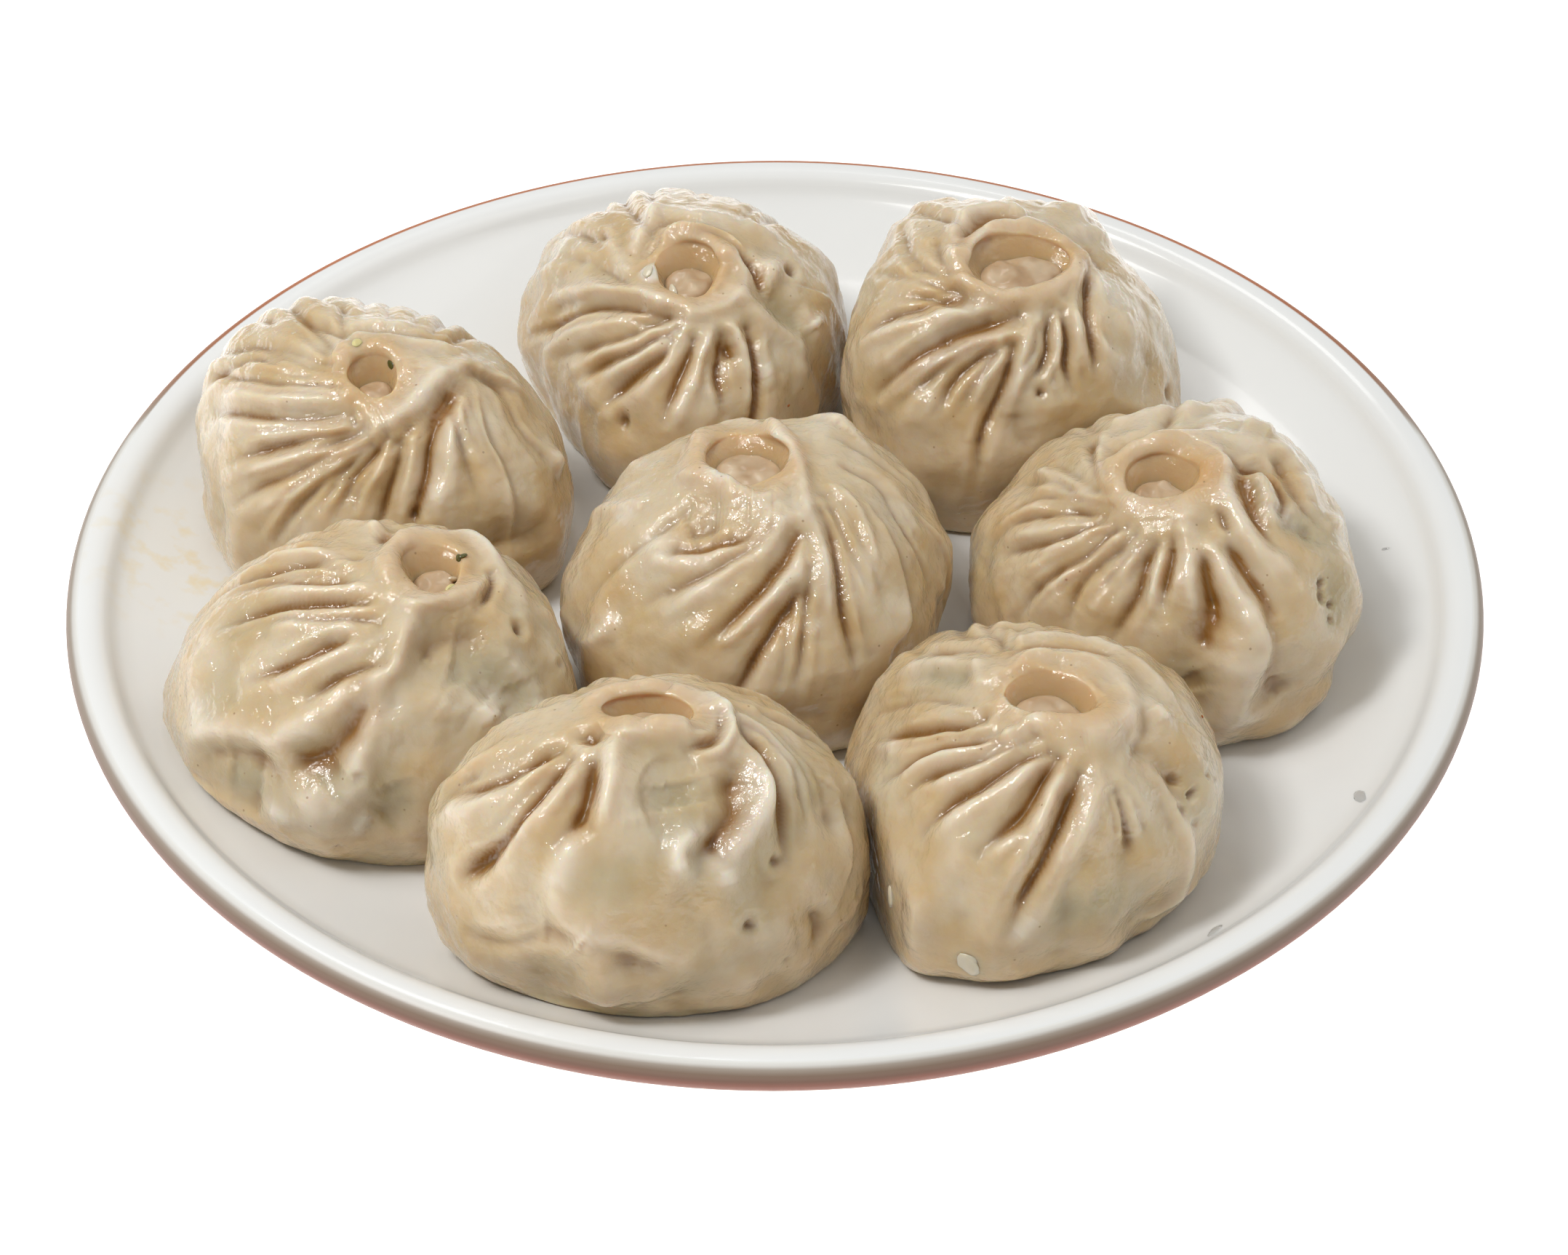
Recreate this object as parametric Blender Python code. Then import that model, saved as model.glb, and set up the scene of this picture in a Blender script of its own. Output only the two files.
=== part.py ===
"""Eight steamed momo dumplings on the round plate they are served on.

Each dumpling is a pleated dough wrapper, gathered round an open crown, over a solid ball of filling
that shows through the opening. All sizes below are in millimetres and the model is built in metres.
Angles are in degrees, counter-clockwise from +X, seen from above. -Y is the front of the plate.
"""

import math

import bmesh
import bpy
import numpy as np

MM = 0.001
GAP = 0.3

# Plate: a thick rolled rim, a shallow curved well and a foot ring.
PLATE_SEGMENTS = 56
RIM_RADIUS = 110.0
RIM_HEIGHT = 20.0
WELL_FLOOR = 7.0
WELL_FLAT_RADIUS = 70.0
WELL_WALL_RADIUS = 103.5
WELL_WALL_HEIGHT = 17.0
WELL_CURVE = 2.2
WELL_STEPS = 4
FOOT_RADIUS = 66.0
FOOT_INNER_RADIUS = 58.0
UNDERSIDE = 2.8

# Dumplings: what all eight share.
EQUATOR = 0.30
BASE_TUCK = 0.10
ROPE_WIDTH = 2.2
ROPE_HEIGHT = 1.3
THROAT_DEPTH = 4.6
THROAT_TAPER = 0.74
PLEAT_HEIGHT = 2.3
PLEAT_SOFTNESS = 1.6
PLEAT_SPACING = 18.5
WIDEST_FACET = 17.0
FILLING_COLUMNS = 12
FILLING_SCALE = 0.77
FILLING_FLOOR = 2.6
FILLING_DIP = 0.6

# Heights up the skin: -1 at the hole, 0 outside the crown's rope, 1 at the equator, 2 at the base.
CROWN_RINGS = (-1.0, -0.5)
BODY_RINGS = (0.0, 0.16, 0.38, 0.64, 0.92, 1.35, 2.0)

# place: centre on the plate. half: half widths. square: 2 is an ellipse, more is boxier.
# lobe: three-cornered and skew: slanting unevenness of the outline. lean: how far the top is pushed.
# hole: its offset from the centre and its two radii. pinch: where the pleats are gathered, as an
# angle and a distance from the hole. pleats: grooves as (angle on the belly, angle at the crown,
# depth). smooth: angles without pleats. marks: (angle, height, radius, depth) of dents, or of
# bulges where the depth is negative.
DUMPLINGS = {
    "back_left": {
        "place": (-64.6, 16.8), "half": (30.3, 26.5), "height": 37.4, "dome": 2.4,
        "square": 2.45, "lobe": (0.04, 0.0), "skew": -0.089, "lean": (-2.3, 2.3),
        "hole": (-0.2, -5.0, 4.4, 5.2), "pinch": (12, 14.0),
        "pleats": (
            (165, 206, 0.8), (186, 231, 1.2), (203, 250, 1.2), (220, 259, 1.1), (240, 267, 1.0),
            (257, 276, 1.6), (272, 290, 1.4), (283, 309, 2.4), (301, 323, 1.4), (311, 331, 1.0),
            (320, 346, 1.6), (338, 354, 0.8), (356, 363, 2.0),
        ),
        "smooth": (365, 420),
        "marks": ((352, 0.8, 5.0, 1.5),),
    },
    "back_middle": {
        "place": (-15.7, 53.0), "half": (27.8, 32.0), "height": 35.3, "dome": 2.0,
        "square": 1.9, "lobe": (0.0, 0.06), "skew": -0.048, "lean": (0.4, 1.2),
        "hole": (2.2, -9.0, 5.2, 5.4), "pinch": (-40, 11.0),
        "pleats": (
            (160, 196, 0.8), (180, 210, 0.8), (197, 219, 1.1), (210, 227, 0.8), (223, 241, 1.3),
            (236, 249, 1.2), (250, 261, 1.0), (262, 270, 1.7), (280, 284, 1.6), (291, 303, 2.8),
            (345, 327, 1.8),
        ),
        "smooth": (291, 400),
        "marks": ((338, 0.2, 5.0, 2.0), (343, 0.5, 4.0, -1.2), (288, 0.22, 2.2, 1.2)),
    },
    "back_right": {
        "place": (39.8, 43.1), "half": (28.1, 30.5), "height": 40.5, "dome": 2.2,
        "square": 2.25, "lobe": (0.03, -0.037), "skew": 0.019, "lean": (-5.5, 1.0),
        "hole": (-0.5, -6.5, 5.8, 6.0), "pinch": (16, 11.5),
        "pleats": (
            (165, 196, 0.8), (182, 209, 0.9), (200, 220, 1.2), (217, 245, 3.0), (231, 257, 1.2),
            (243, 263, 1.0), (250, 270, 0.9), (258, 279, 1.8), (271, 289, 1.6), (286, 296, 1.3),
            (297, 309, 1.0), (308, 316, 0.9), (318, 323, 0.5),
        ),
        "smooth": (322, 400),
        "marks": ((132, 0.1, 4.5, 1.6), (70, 0.5, 5.0, -1.5)),
    },
    "centre": {
        "place": (-3.2, -11.9), "half": (29.7, 30.2), "height": 34.4, "dome": 2.1,
        "square": 2.06, "lobe": (0.0, 0.01), "skew": 0.033, "lean": (2.2, 1.4),
        "hole": (0.0, 4.0, 5.4, 5.0), "pinch": (-53, 12.0),
        "pleats": (
            (230, 285, 0.9), (246, 296, 2.2), (267, 303, 2.6), (283, 309, 1.4), (297, 314, 1.3),
            (307, 321, 0.8), (318, 329, 0.8), (326, 338, 1.4), (342, 349, 1.0), (352, 357, 0.9),
        ),
        "smooth": (110, 230),
        "marks": ((246, 0.2, 5.5, 3.4), (62, 0.3, 5.0, -2.2), (205, 0.4, 6.0, 0.8)),
    },
    "right": {
        "place": (60.9, -6.3), "half": (28.5, 30.7), "height": 35.6, "dome": 2.0,
        "square": 2.16, "lobe": (-0.06, -0.02), "skew": -0.045, "lean": (4.6, -3.3),
        "hole": (-3.8, -2.5, 5.5, 4.4), "pinch": (-53, 8.5),
        "pleats": (
            (172, 191, 0.7), (186, 203, 0.9), (198, 219, 0.9), (213, 228, 1.1), (224, 237, 1.0),
            (233, 245, 0.9), (243, 253, 1.4), (251, 261, 0.8), (259, 269, 1.0), (271, 283, 2.8),
            (289, 298, 2.4), (305, 322, 1.2),
        ),
        "smooth": (305, 400),
        "marks": ((318, 0.2, 3.5, 1.8), (303, 0.85, 4.0, 1.4), (284, 1.2, 5.0, -1.5)),
    },
    "front_right": {
        "place": (35.9, -58.6), "half": (26.2, 29.5), "height": 36.2, "dome": 2.0,
        "square": 2.2, "lobe": (0.06, 0.011), "skew": 0.0, "lean": (3.6, -2.3),
        "hole": (2.0, -1.0, 5.6, 3.7), "pinch": (-65, 11.0),
        "pleats": (
            (150, 168, 0.9), (172, 199, 1.2), (189, 217, 0.8), (205, 237, 1.4), (224, 247, 1.1),
            (234, 257, 1.2), (246, 270, 1.6), (261, 288, 3.2), (297, 299, 1.3), (318, 319, 0.6),
        ),
        "smooth": (318, 420),
        "marks": ((207, 0.8, 5.0, 1.5), (283, 0.75, 4.5, 1.0)),
    },
    "front_middle": {
        "place": (-16.2, -72.0), "half": (30.3, 25.0), "height": 39.2, "dome": 2.35,
        "square": 1.95, "lobe": (-0.015, 0.0), "skew": 0.08, "lean": (-4.0, -1.2),
        "hole": (-0.2, 6.5, 6.4, 3.0), "pinch": (-14, 11.0),
        "pleats": (
            (183, 190, 0.8), (202, 211, 1.1), (213, 226, 2.0), (238, 244, 2.2), (288, 336, 1.6),
            (318, 352, 1.0), (336, 362, 0.8), (354, 370, 0.8),
        ),
        "smooth": (238, 288),
        "marks": (
            (275, 0.2, 6.0, 1.8), (290, 0.28, 5.0, 1.4), (252, 0.3, 3.0, -1.4),
            (258, 0.83, 3.5, 1.8), (241, 0.78, 2.5, 1.2), (332, 0.9, 4.0, 1.0),
        ),
    },
    "front_left": {
        "place": (-59.8, -36.8), "half": (30.2, 27.8), "height": 35.7, "dome": 2.1,
        "square": 2.08, "lobe": (0.0, 0.0), "skew": -0.022, "lean": (2.1, 0.9),
        "hole": (9.7, 4.6, 4.6, 5.2), "pinch": (-108, 9.0),
        "pleats": (
            (140, 184, 0.9), (161, 209, 1.0), (180, 235, 1.2), (209, 258, 1.8), (232, 268, 1.0),
            (250, 279, 2.6), (282, 285, 1.2),
        ),
        "smooth": (282, 400),
        "marks": (
            (230, 0.82, 6.0, 2.6), (272, 0.45, 3.5, -1.4), (300, 0.2, 5.5, 2.2),
            (278, 0.85, 3.5, 1.2),
        ),
    },
}

COLOURS = {
    "plate": (0.83, 0.81, 0.77, 1.0),
    "wrapper": (0.66, 0.53, 0.38, 1.0),
    "filling": (0.46, 0.33, 0.27, 1.0),
}
ROUGHNESS = {"plate": 0.12, "wrapper": 0.35, "filling": 0.45}


def well_height(radius):
    """Top of the plate's well at a distance from its centre."""
    across = (radius - WELL_FLAT_RADIUS) / (WELL_WALL_RADIUS - WELL_FLAT_RADIUS)
    return WELL_FLOOR + (WELL_WALL_HEIGHT - WELL_FLOOR) * np.clip(across, 0, 1.2) ** WELL_CURVE


def outline(shape, angle):
    """Distance from the dumpling's centre to its widest outline, in the direction of angle."""
    power = shape["square"]
    across = np.abs(np.cos(angle) / shape["half"][0]) ** power
    along = np.abs(np.sin(angle) / shape["half"][1]) ** power
    lobes = shape["lobe"][0] * np.cos(3 * angle) + shape["lobe"][1] * np.sin(3 * angle)
    return (across + along) ** (-1 / power) * (1 + lobes + shape["skew"] * np.sin(2 * angle))


def all_pleats(shape):
    """The named grooves, and between them, outside the smooth sector, others at an even spacing."""
    pleats = list(shape["pleats"])
    first = pleats[0]
    closing = pleats + [(first[0] + 360, first[1] + 360, first[2])]
    for here, after in zip(closing, closing[1:]):
        start = here[0]
        if shape["smooth"][0] <= start < shape["smooth"][1]:
            start = shape["smooth"][1]
        span = after[0] - start
        if span < 1.8 * PLEAT_SPACING:
            continue
        count = round(span / PLEAT_SPACING)
        for step in range(0 if start > here[0] else 1, count):
            belly = start + span * step / count
            share = (belly - here[0]) / (after[0] - here[0])
            crown = here[1] + share * (after[1] - here[1])
            pleats.append((belly, crown, 0.9 + 0.3 * math.sin(2.4 * belly)))
    return sorted((belly % 360, crown - belly, depth) for belly, crown, depth in pleats)


def column_angles(pleats):
    """One column of facets in each groove and on each crest, and more where the skin is smooth."""
    grooves = [belly for belly, _, _ in pleats]
    columns = []
    for here, after in zip(grooves, grooves[1:] + [grooves[0] + 360]):
        pieces = max(2, math.ceil((after - here) / WIDEST_FACET))
        columns += [here + (after - here) * step / pieces for step in range(pieces)]
    return np.radians(columns)


def crown_centres(shape):
    """Centres of the hole and of the rope round it, and the rope's outer radius."""
    lean = np.array(shape["lean"]) * 0.9
    hole = np.array(shape["hole"][:2]) - lean
    inner = sum(shape["hole"][2:]) / 2 + ROPE_WIDTH
    angle, reach = math.radians(shape["pinch"][0]), shape["pinch"][1]
    rope = hole + (reach - inner) / 2 * np.array([math.cos(angle), math.sin(angle)])
    return hole, rope, (reach + inner) / 2


def domed(shape, x, y):
    """Raises points of the plan onto the dome, and pushes them over with its lean."""
    reach = np.hypot(x, y) / outline(shape, np.arctan2(y, x))
    rise = np.sqrt(1 - np.clip(reach, 0, 1) ** shape["dome"])
    low = EQUATOR * shape["height"]
    x, y = x + shape["lean"][0] * rise, y + shape["lean"][1] * rise
    return np.stack([x, y, low + (shape["height"] - low) * rise], -1)


def smooth_skin(shape, angle, height):
    """The skin without its pleats, at one height, as points round the dumpling's own centre."""
    hole, rope, rope_radius = crown_centres(shape)
    if height < 0:
        share = height + 1
        wide, deep = shape["hole"][2:]
        edge = wide * deep / np.hypot(deep * np.cos(angle), wide * np.sin(angle))
        x = (hole[0] + edge * np.cos(angle)) * (1 - share)
        y = (hole[1] + edge * np.sin(angle)) * (1 - share)
        x = x + (rope[0] + rope_radius * np.cos(angle)) * share
        y = y + (rope[1] + rope_radius * np.sin(angle)) * share
        points = domed(shape, x, y)
        points[:, 2] += ROPE_HEIGHT * math.sin(math.pi * share) - 0.6 * (1 - share)
        return points
    if height <= 1:
        share = math.sin(height * math.pi / 2)
        radius = rope_radius + (outline(shape, angle) - rope_radius) * share
        x = rope[0] * (1 - share) + radius * np.cos(angle)
        y = rope[1] * (1 - share) + radius * np.sin(angle)
        return domed(shape, x, y)
    turn = (height - 1) * math.pi / 2
    radius = outline(shape, angle) * (1 - BASE_TUCK * (1 - math.cos(turn)))
    low = np.full_like(angle, EQUATOR * shape["height"] * (1 - math.sin(turn)))
    return np.stack([radius * np.cos(angle), radius * np.sin(angle), low], -1)


def pleat_strength(height):
    """How much of its full depth a pleat has at this height."""
    return float(np.interp(height, (0.0, 0.15, 0.55, 0.9, 1.15), (0.25, 1.0, 1.0, 0.35, 0.0)))


def relief(pleats, belly, radius, height):
    """Height of the pleats above the smooth skin: rounded ridges with a cusp at each groove."""
    grooves = np.radians([groove for groove, _, _ in pleats])
    depths = np.array([depth for _, _, depth in pleats])
    apart = (belly[:, None] - grooves[None, :] + math.pi) % (2 * math.pi) - math.pi
    apart = np.abs(apart) * radius[:, None]
    nearest = np.sort(apart, axis=1)[:, :2]
    ridge = np.prod(1 - np.exp(-nearest / PLEAT_SOFTNESS), axis=1)
    slit = (depths * np.exp(-((apart / 0.9) ** 2))).sum(axis=1)
    return pleat_strength(height) * (PLEAT_HEIGHT * (ridge - 0.4) - 0.8 * slit)


def marked(shape, points, outward):
    """Presses the dents in and raises the bulges."""
    for angle, height, radius, depth in shape["marks"]:
        spot = smooth_skin(shape, np.radians([float(angle)]), height)
        near = np.exp(-(((points - spot) ** 2).sum(axis=1)) / radius**2)
        points = points - depth * near[:, None] * outward
    return points


def body_ring(shape, pleats, belly, height):
    """One ring of the wrapper's outside, with its pleats and marks, round its own centre."""
    advance = np.interp(
        np.degrees(belly), [p[0] for p in pleats], [p[1] for p in pleats], period=360
    )
    share = math.sin(min(max(height, 0), 1) * math.pi / 2)
    angle = belly + np.radians(advance) * (1 - share)
    points = smooth_skin(shape, angle, height)
    if height < 0:
        return points
    step = 0.02
    above = smooth_skin(shape, angle, max(height - step, 0.0))
    below = smooth_skin(shape, angle, min(height + step, 1.9))
    beside = smooth_skin(shape, angle + step, height)
    outward = np.cross(above - below, points - beside)
    outward /= np.linalg.norm(outward, axis=1)[:, None]
    radius = np.hypot(points[:, 0], points[:, 1])
    points = points + relief(pleats, belly, radius, height)[:, None] * outward
    return marked(shape, points, outward)


def on_plate(shape, points):
    """Moves a ring to its place, and lets the lowest part follow the rise of the well."""
    points = points + np.array([*shape["place"], 0.0])
    seat = well_height(math.hypot(*shape["place"]))
    rise = well_height(np.hypot(points[:, 0], points[:, 1])) - seat
    low = EQUATOR * shape["height"]
    sunk = np.clip(1 - points[:, 2] / low, 0, 1)
    points[:, 2] += seat + GAP + 0.05 + rise * sunk
    return points


def kept_apart(name, points, margin):
    """Flattens a dumpling where it would pass the plane half-way to each of its neighbours."""
    here = np.array(DUMPLINGS[name]["place"])
    for other, shape in DUMPLINGS.items():
        if other == name:
            continue
        across = np.array(shape["place"]) - here
        length = np.linalg.norm(across)
        across = across / length
        angle = math.atan2(across[1], across[0])
        mine, theirs = outline(DUMPLINGS[name], angle), outline(shape, angle + math.pi)
        limit = length * mine / (mine + theirs) - margin
        over = np.clip((points[:, :2] - here) @ across - limit, 0, None)
        points[:, :2] -= over[:, None] * across
    return points


def stitched(mesh, upper, lower):
    """Faces between two rings that may have different numbers of points."""
    if len(upper) == len(lower):
        for i in range(len(upper)):
            j = (i + 1) % len(upper)
            mesh.faces.new((upper[i], lower[i], lower[j], upper[j]))
        return
    i = j = 0
    while i < len(upper) or j < len(lower):
        a, b = upper[i % len(upper)], lower[j % len(lower)]
        if j == len(lower) or (i < len(upper) and (i + 1) / len(upper) <= (j + 1) / len(lower)):
            i += 1
            mesh.faces.new((a, b, upper[i % len(upper)]))
        else:
            j += 1
            mesh.faces.new((a, b, lower[j % len(lower)]))


def solid_from_rings(name, start, rings, end, kind):
    """A closed body: a point, rings of points and a last point, each joined to the next."""
    mesh = bmesh.new()
    loops = [[mesh.verts.new(point * MM) for point in ring] for ring in rings]
    for tip, loop in ((start, loops[0]), (end, loops[-1])):
        apex = mesh.verts.new(np.array(tip) * MM)
        for here, after in zip(loop, loop[1:] + loop[:1]):
            mesh.faces.new((apex, here, after))
    for upper, lower in zip(loops, loops[1:]):
        stitched(mesh, upper, lower)
    bmesh.ops.recalc_face_normals(mesh, faces=mesh.faces)
    data = bpy.data.meshes.new(name)
    mesh.to_mesh(data)
    mesh.free()
    return placed(name, data, kind)


def placed(name, data, kind):
    """An object for the mesh, shaded smooth, with a material of its own."""
    material = bpy.data.materials.new(name)
    material.use_nodes = True
    shader = material.node_tree.nodes["Principled BSDF"]
    shader.inputs["Base Color"].default_value = COLOURS[kind]
    shader.inputs["Roughness"].default_value = ROUGHNESS[kind]
    shader.inputs["Metallic"].default_value = 0.0
    data.materials.append(material)
    data.polygons.foreach_set("use_smooth", [True] * len(data.polygons))
    obj = bpy.data.objects.new(name, data)
    bpy.context.collection.objects.link(obj)
    return obj


def core_ring(shape, angles, scale, height):
    """A ring of the filling, or of the hollow that holds it: the smooth skin drawn inwards."""
    radius = outline(shape, angles) * scale
    lean = np.array(shape["lean"]) * max(height / shape["height"], 0) ** 2
    flat = np.stack([radius * np.cos(angles), radius * np.sin(angles)], -1) + lean
    return np.column_stack([flat, np.full(len(angles), height)])


def core_rings(shape, clearance):
    """Rings of the hollow, from its roof down, or with a clearance those of the filling."""
    angles = np.radians(np.arange(FILLING_COLUMNS) * 360 / FILLING_COLUMNS)
    hole, _, _ = crown_centres(shape)
    roof = domed(shape, hole[:1], hole[1:])[0, 2] - THROAT_DEPTH - 0.9
    drawn = 1.4 * clearance / min(shape["half"])
    levels = (
        (0.38, roof - 2.6), (0.62, roof - 7.6), (FILLING_SCALE, 0.3 * shape["height"]),
        (0.7, FILLING_FLOOR),
    )
    rings = []
    for scale, height in levels:
        up = clearance if height == FILLING_FLOOR else -clearance
        rings.append(core_ring(shape, angles, scale - drawn, height + up))
    return rings, roof


def throat(shape, angle):
    """The lower end of the crown's opening, where the dough stops and the filling shows."""
    hole, _, _ = crown_centres(shape)
    wide, deep = (size * THROAT_TAPER for size in shape["hole"][2:])
    edge = wide * deep / np.hypot(deep * np.cos(angle), wide * np.sin(angle))
    points = domed(shape, hole[0] + edge * np.cos(angle), hole[1] + edge * np.sin(angle))
    points[:, 2] -= THROAT_DEPTH
    return points


def build_wrapper(name, shape):
    """Dough: from the hollow's floor up its inside, out of the throat and down to the base."""
    pleats = all_pleats(shape)
    belly = column_angles(pleats)
    inside, _ = core_rings(shape, 0.0)
    advance = np.interp(
        np.degrees(belly), [p[0] for p in pleats], [p[1] for p in pleats], period=360
    )
    crown_angle = belly + np.radians(advance)
    order = [on_plate(shape, ring) for ring in reversed(inside)]
    turn = int(np.argmin(np.abs((crown_angle + math.pi) % (2 * math.pi) - math.pi)))
    order.append(on_plate(shape, np.roll(throat(shape, crown_angle), -turn, axis=0)))
    for height in CROWN_RINGS + BODY_RINGS:
        ring = on_plate(shape, body_ring(shape, pleats, belly, height))
        order.append(np.roll(kept_apart(name, ring, GAP / 2), -turn, axis=0))
    floor_middle = order[0].mean(axis=0)
    base_middle = np.array([*order[-1][:, :2].mean(axis=0), 0.0])
    base_middle[2] = max(
        well_height(math.hypot(*base_middle[:2])) + GAP + 0.05, order[-1][:, 2].min()
    )
    return solid_from_rings("wrapper_" + name, floor_middle, order, base_middle, "wrapper")


def build_filling(name, shape):
    """Meat and onion: a faceted ball that fills the hollow, with a low mound under the throat."""
    rings, roof = core_rings(shape, GAP)
    rings = [on_plate(shape, ring) for ring in rings]
    hole, _, _ = crown_centres(shape)
    mound = np.array([domed(shape, *hole.reshape(2, 1))[0]])
    mound[:, 2] = roof - FILLING_DIP
    top = on_plate(shape, mound)[0]
    return solid_from_rings("filling_" + name, top, rings, rings[-1].mean(axis=0), "filling")


def plate_profile():
    """Half section of the plate, from the middle of its top round the rim to its underside."""
    well = [
        (WELL_FLAT_RADIUS + (WELL_WALL_RADIUS - WELL_FLAT_RADIUS) * step / WELL_STEPS)
        for step in range(WELL_STEPS + 1)
    ]
    profile = [(0.0, WELL_FLOOR)] + [(radius, float(well_height(radius))) for radius in well]
    profile += [
        (RIM_RADIUS - 4.6, RIM_HEIGHT - 0.6),
        (RIM_RADIUS - 2.6, RIM_HEIGHT),
        (RIM_RADIUS - 0.7, RIM_HEIGHT - 0.8),
        (RIM_RADIUS, RIM_HEIGHT - 2.6),
        (RIM_RADIUS - 0.7, RIM_HEIGHT - 5.2),
        (RIM_RADIUS - 4.0, RIM_HEIGHT - 8.0),
        (RIM_RADIUS - 22.0, 6.6),
        (FOOT_RADIUS + 1.5, 3.4),
        (FOOT_RADIUS, 0.0),
        (FOOT_INNER_RADIUS, 0.0),
        (FOOT_INNER_RADIUS - 1.5, UNDERSIDE),
        (0.0, UNDERSIDE),
    ]
    return profile


def build_plate():
    """The profile turned once round the plate's axis."""
    mesh = bmesh.new()
    corners = [mesh.verts.new((radius * MM, 0.0, height * MM)) for radius, height in plate_profile()]
    edges = [mesh.edges.new(pair) for pair in zip(corners, corners[1:])]
    bmesh.ops.spin(
        mesh, geom=corners + edges, cent=(0, 0, 0), axis=(0, 0, 1),
        angle=2 * math.pi, steps=PLATE_SEGMENTS, use_merge=True,
    )
    bmesh.ops.remove_doubles(mesh, verts=mesh.verts, dist=1e-6)
    bmesh.ops.recalc_face_normals(mesh, faces=mesh.faces)
    data = bpy.data.meshes.new("plate")
    mesh.to_mesh(data)
    mesh.free()
    return placed("plate", data, "plate")


def main():
    for obj in list(bpy.data.objects):
        bpy.data.objects.remove(obj, do_unlink=True)
    build_plate()
    for name, shape in DUMPLINGS.items():
        build_wrapper(name, shape)
        build_filling(name, shape)


main()
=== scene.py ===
import math

import bpy
import numpy as np
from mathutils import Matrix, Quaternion, Vector


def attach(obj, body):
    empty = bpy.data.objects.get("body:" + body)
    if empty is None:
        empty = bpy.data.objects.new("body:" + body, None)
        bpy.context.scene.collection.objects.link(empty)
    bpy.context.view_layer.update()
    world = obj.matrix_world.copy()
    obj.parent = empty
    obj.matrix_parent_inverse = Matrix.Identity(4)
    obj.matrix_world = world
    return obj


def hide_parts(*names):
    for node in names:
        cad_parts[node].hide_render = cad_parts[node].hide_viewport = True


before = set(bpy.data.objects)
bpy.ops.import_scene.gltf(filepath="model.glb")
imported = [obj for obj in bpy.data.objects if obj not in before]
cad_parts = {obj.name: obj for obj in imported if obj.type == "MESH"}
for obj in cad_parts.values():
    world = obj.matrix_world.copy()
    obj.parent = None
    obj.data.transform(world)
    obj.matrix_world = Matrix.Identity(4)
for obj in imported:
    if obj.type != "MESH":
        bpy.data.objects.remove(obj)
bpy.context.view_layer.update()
bpy.ops.object.select_all(action="DESELECT")
mm = 0.001


def deselectAll():
    if bpy.context.mode != "OBJECT":
        bpy.ops.object.mode_set(mode="OBJECT")
    bpy.ops.object.select_all(action="DESELECT")


def hexColour(code):
    # sRGB hex to linear RGBA
    parts = [int(code[i:i + 2], 16) / 255 for i in (1, 3, 5)]
    return [c / 12.92 if c < 0.04045 else ((c + 0.055) / 1.055) ** 2.4 for c in parts] + [1.0]


def addNode(tree, kind, inputs=None, **settings):
    node = tree.nodes.new(kind)
    for key, value in settings.items():
        setattr(node, key, value)
    for key, value in (inputs or {}).items():
        if isinstance(value, bpy.types.NodeSocket):
            tree.links.new(value, node.inputs[key])
        else:
            node.inputs[key].default_value = value
    return node


def newMaterial(name):
    material = bpy.data.materials.new(name)
    material.use_nodes = True
    material.node_tree.nodes.clear()
    return material, material.node_tree


def smooth(low, high, value):
    share = np.clip((value - low) / (high - low), 0, 1)
    return share * share * (3 - 2 * share)


def lumps(points, size, seed):
    # soft random lumps between -1 and 1, size is their spacing in mm
    side = 24
    lattice = np.random.default_rng(seed).uniform(-1, 1, (side, side, side))
    spot = points / size + 100.5
    cell = np.floor(spot).astype(int)
    part = spot - cell
    part = part * part * (3 - 2 * part)
    total = 0
    for i in (0, 1):
        for j in (0, 1):
            for k in (0, 1):
                weight = (
                    np.where(i, part[..., 0], 1 - part[..., 0])
                    * np.where(j, part[..., 1], 1 - part[..., 1])
                    * np.where(k, part[..., 2], 1 - part[..., 2])
                )
                near = (cell + [i, j, k]) % side
                total = total + weight * lattice[near[..., 0], near[..., 1], near[..., 2]]
    return total


# camera, floor and light

# place and target in mm from the middle of the plate's foot
view = {"place": (1.4, -352.6, 308.7), "target": (1.4, -22.8, 20.0), "lens": 66.0, "sensor": 36.0}

bpy.ops.object.camera_add(location=[c * mm for c in view["place"]])
camera = bpy.context.object
camera.name = "viewCamera"
camera.data.lens = view["lens"]
camera.data.sensor_width = view["sensor"]
away = [view["target"][i] - view["place"][i] for i in range(3)]
camera.rotation_euler = (math.pi / 2 + math.atan2(away[2], math.hypot(away[0], away[1])), 0, 0)
camera.data.clip_start = 0.01
bpy.context.scene.camera = camera

backdrop = {"size": 4, "colour": "#f7f6f4", "glow": 0.62}  # matt white paper that glows a little, so it stays pale
bpy.ops.mesh.primitive_plane_add(size=backdrop["size"], location=(0, 0, 0))
floor = bpy.context.object
floor.name = "paleFloor"
paleFloor, tree = newMaterial("paleFloor")
paper = addNode(
    tree, "ShaderNodeBsdfPrincipled",
    {
        "Base Color": hexColour(backdrop["colour"]), "Roughness": 0.9,
        "Emission Color": (1, 1, 1, 1), "Emission Strength": backdrop["glow"],
    },
)
addNode(tree, "ShaderNodeOutputMaterial", {"Surface": paper.outputs[0]})
floor.data.materials.append(paleFloor)

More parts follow.
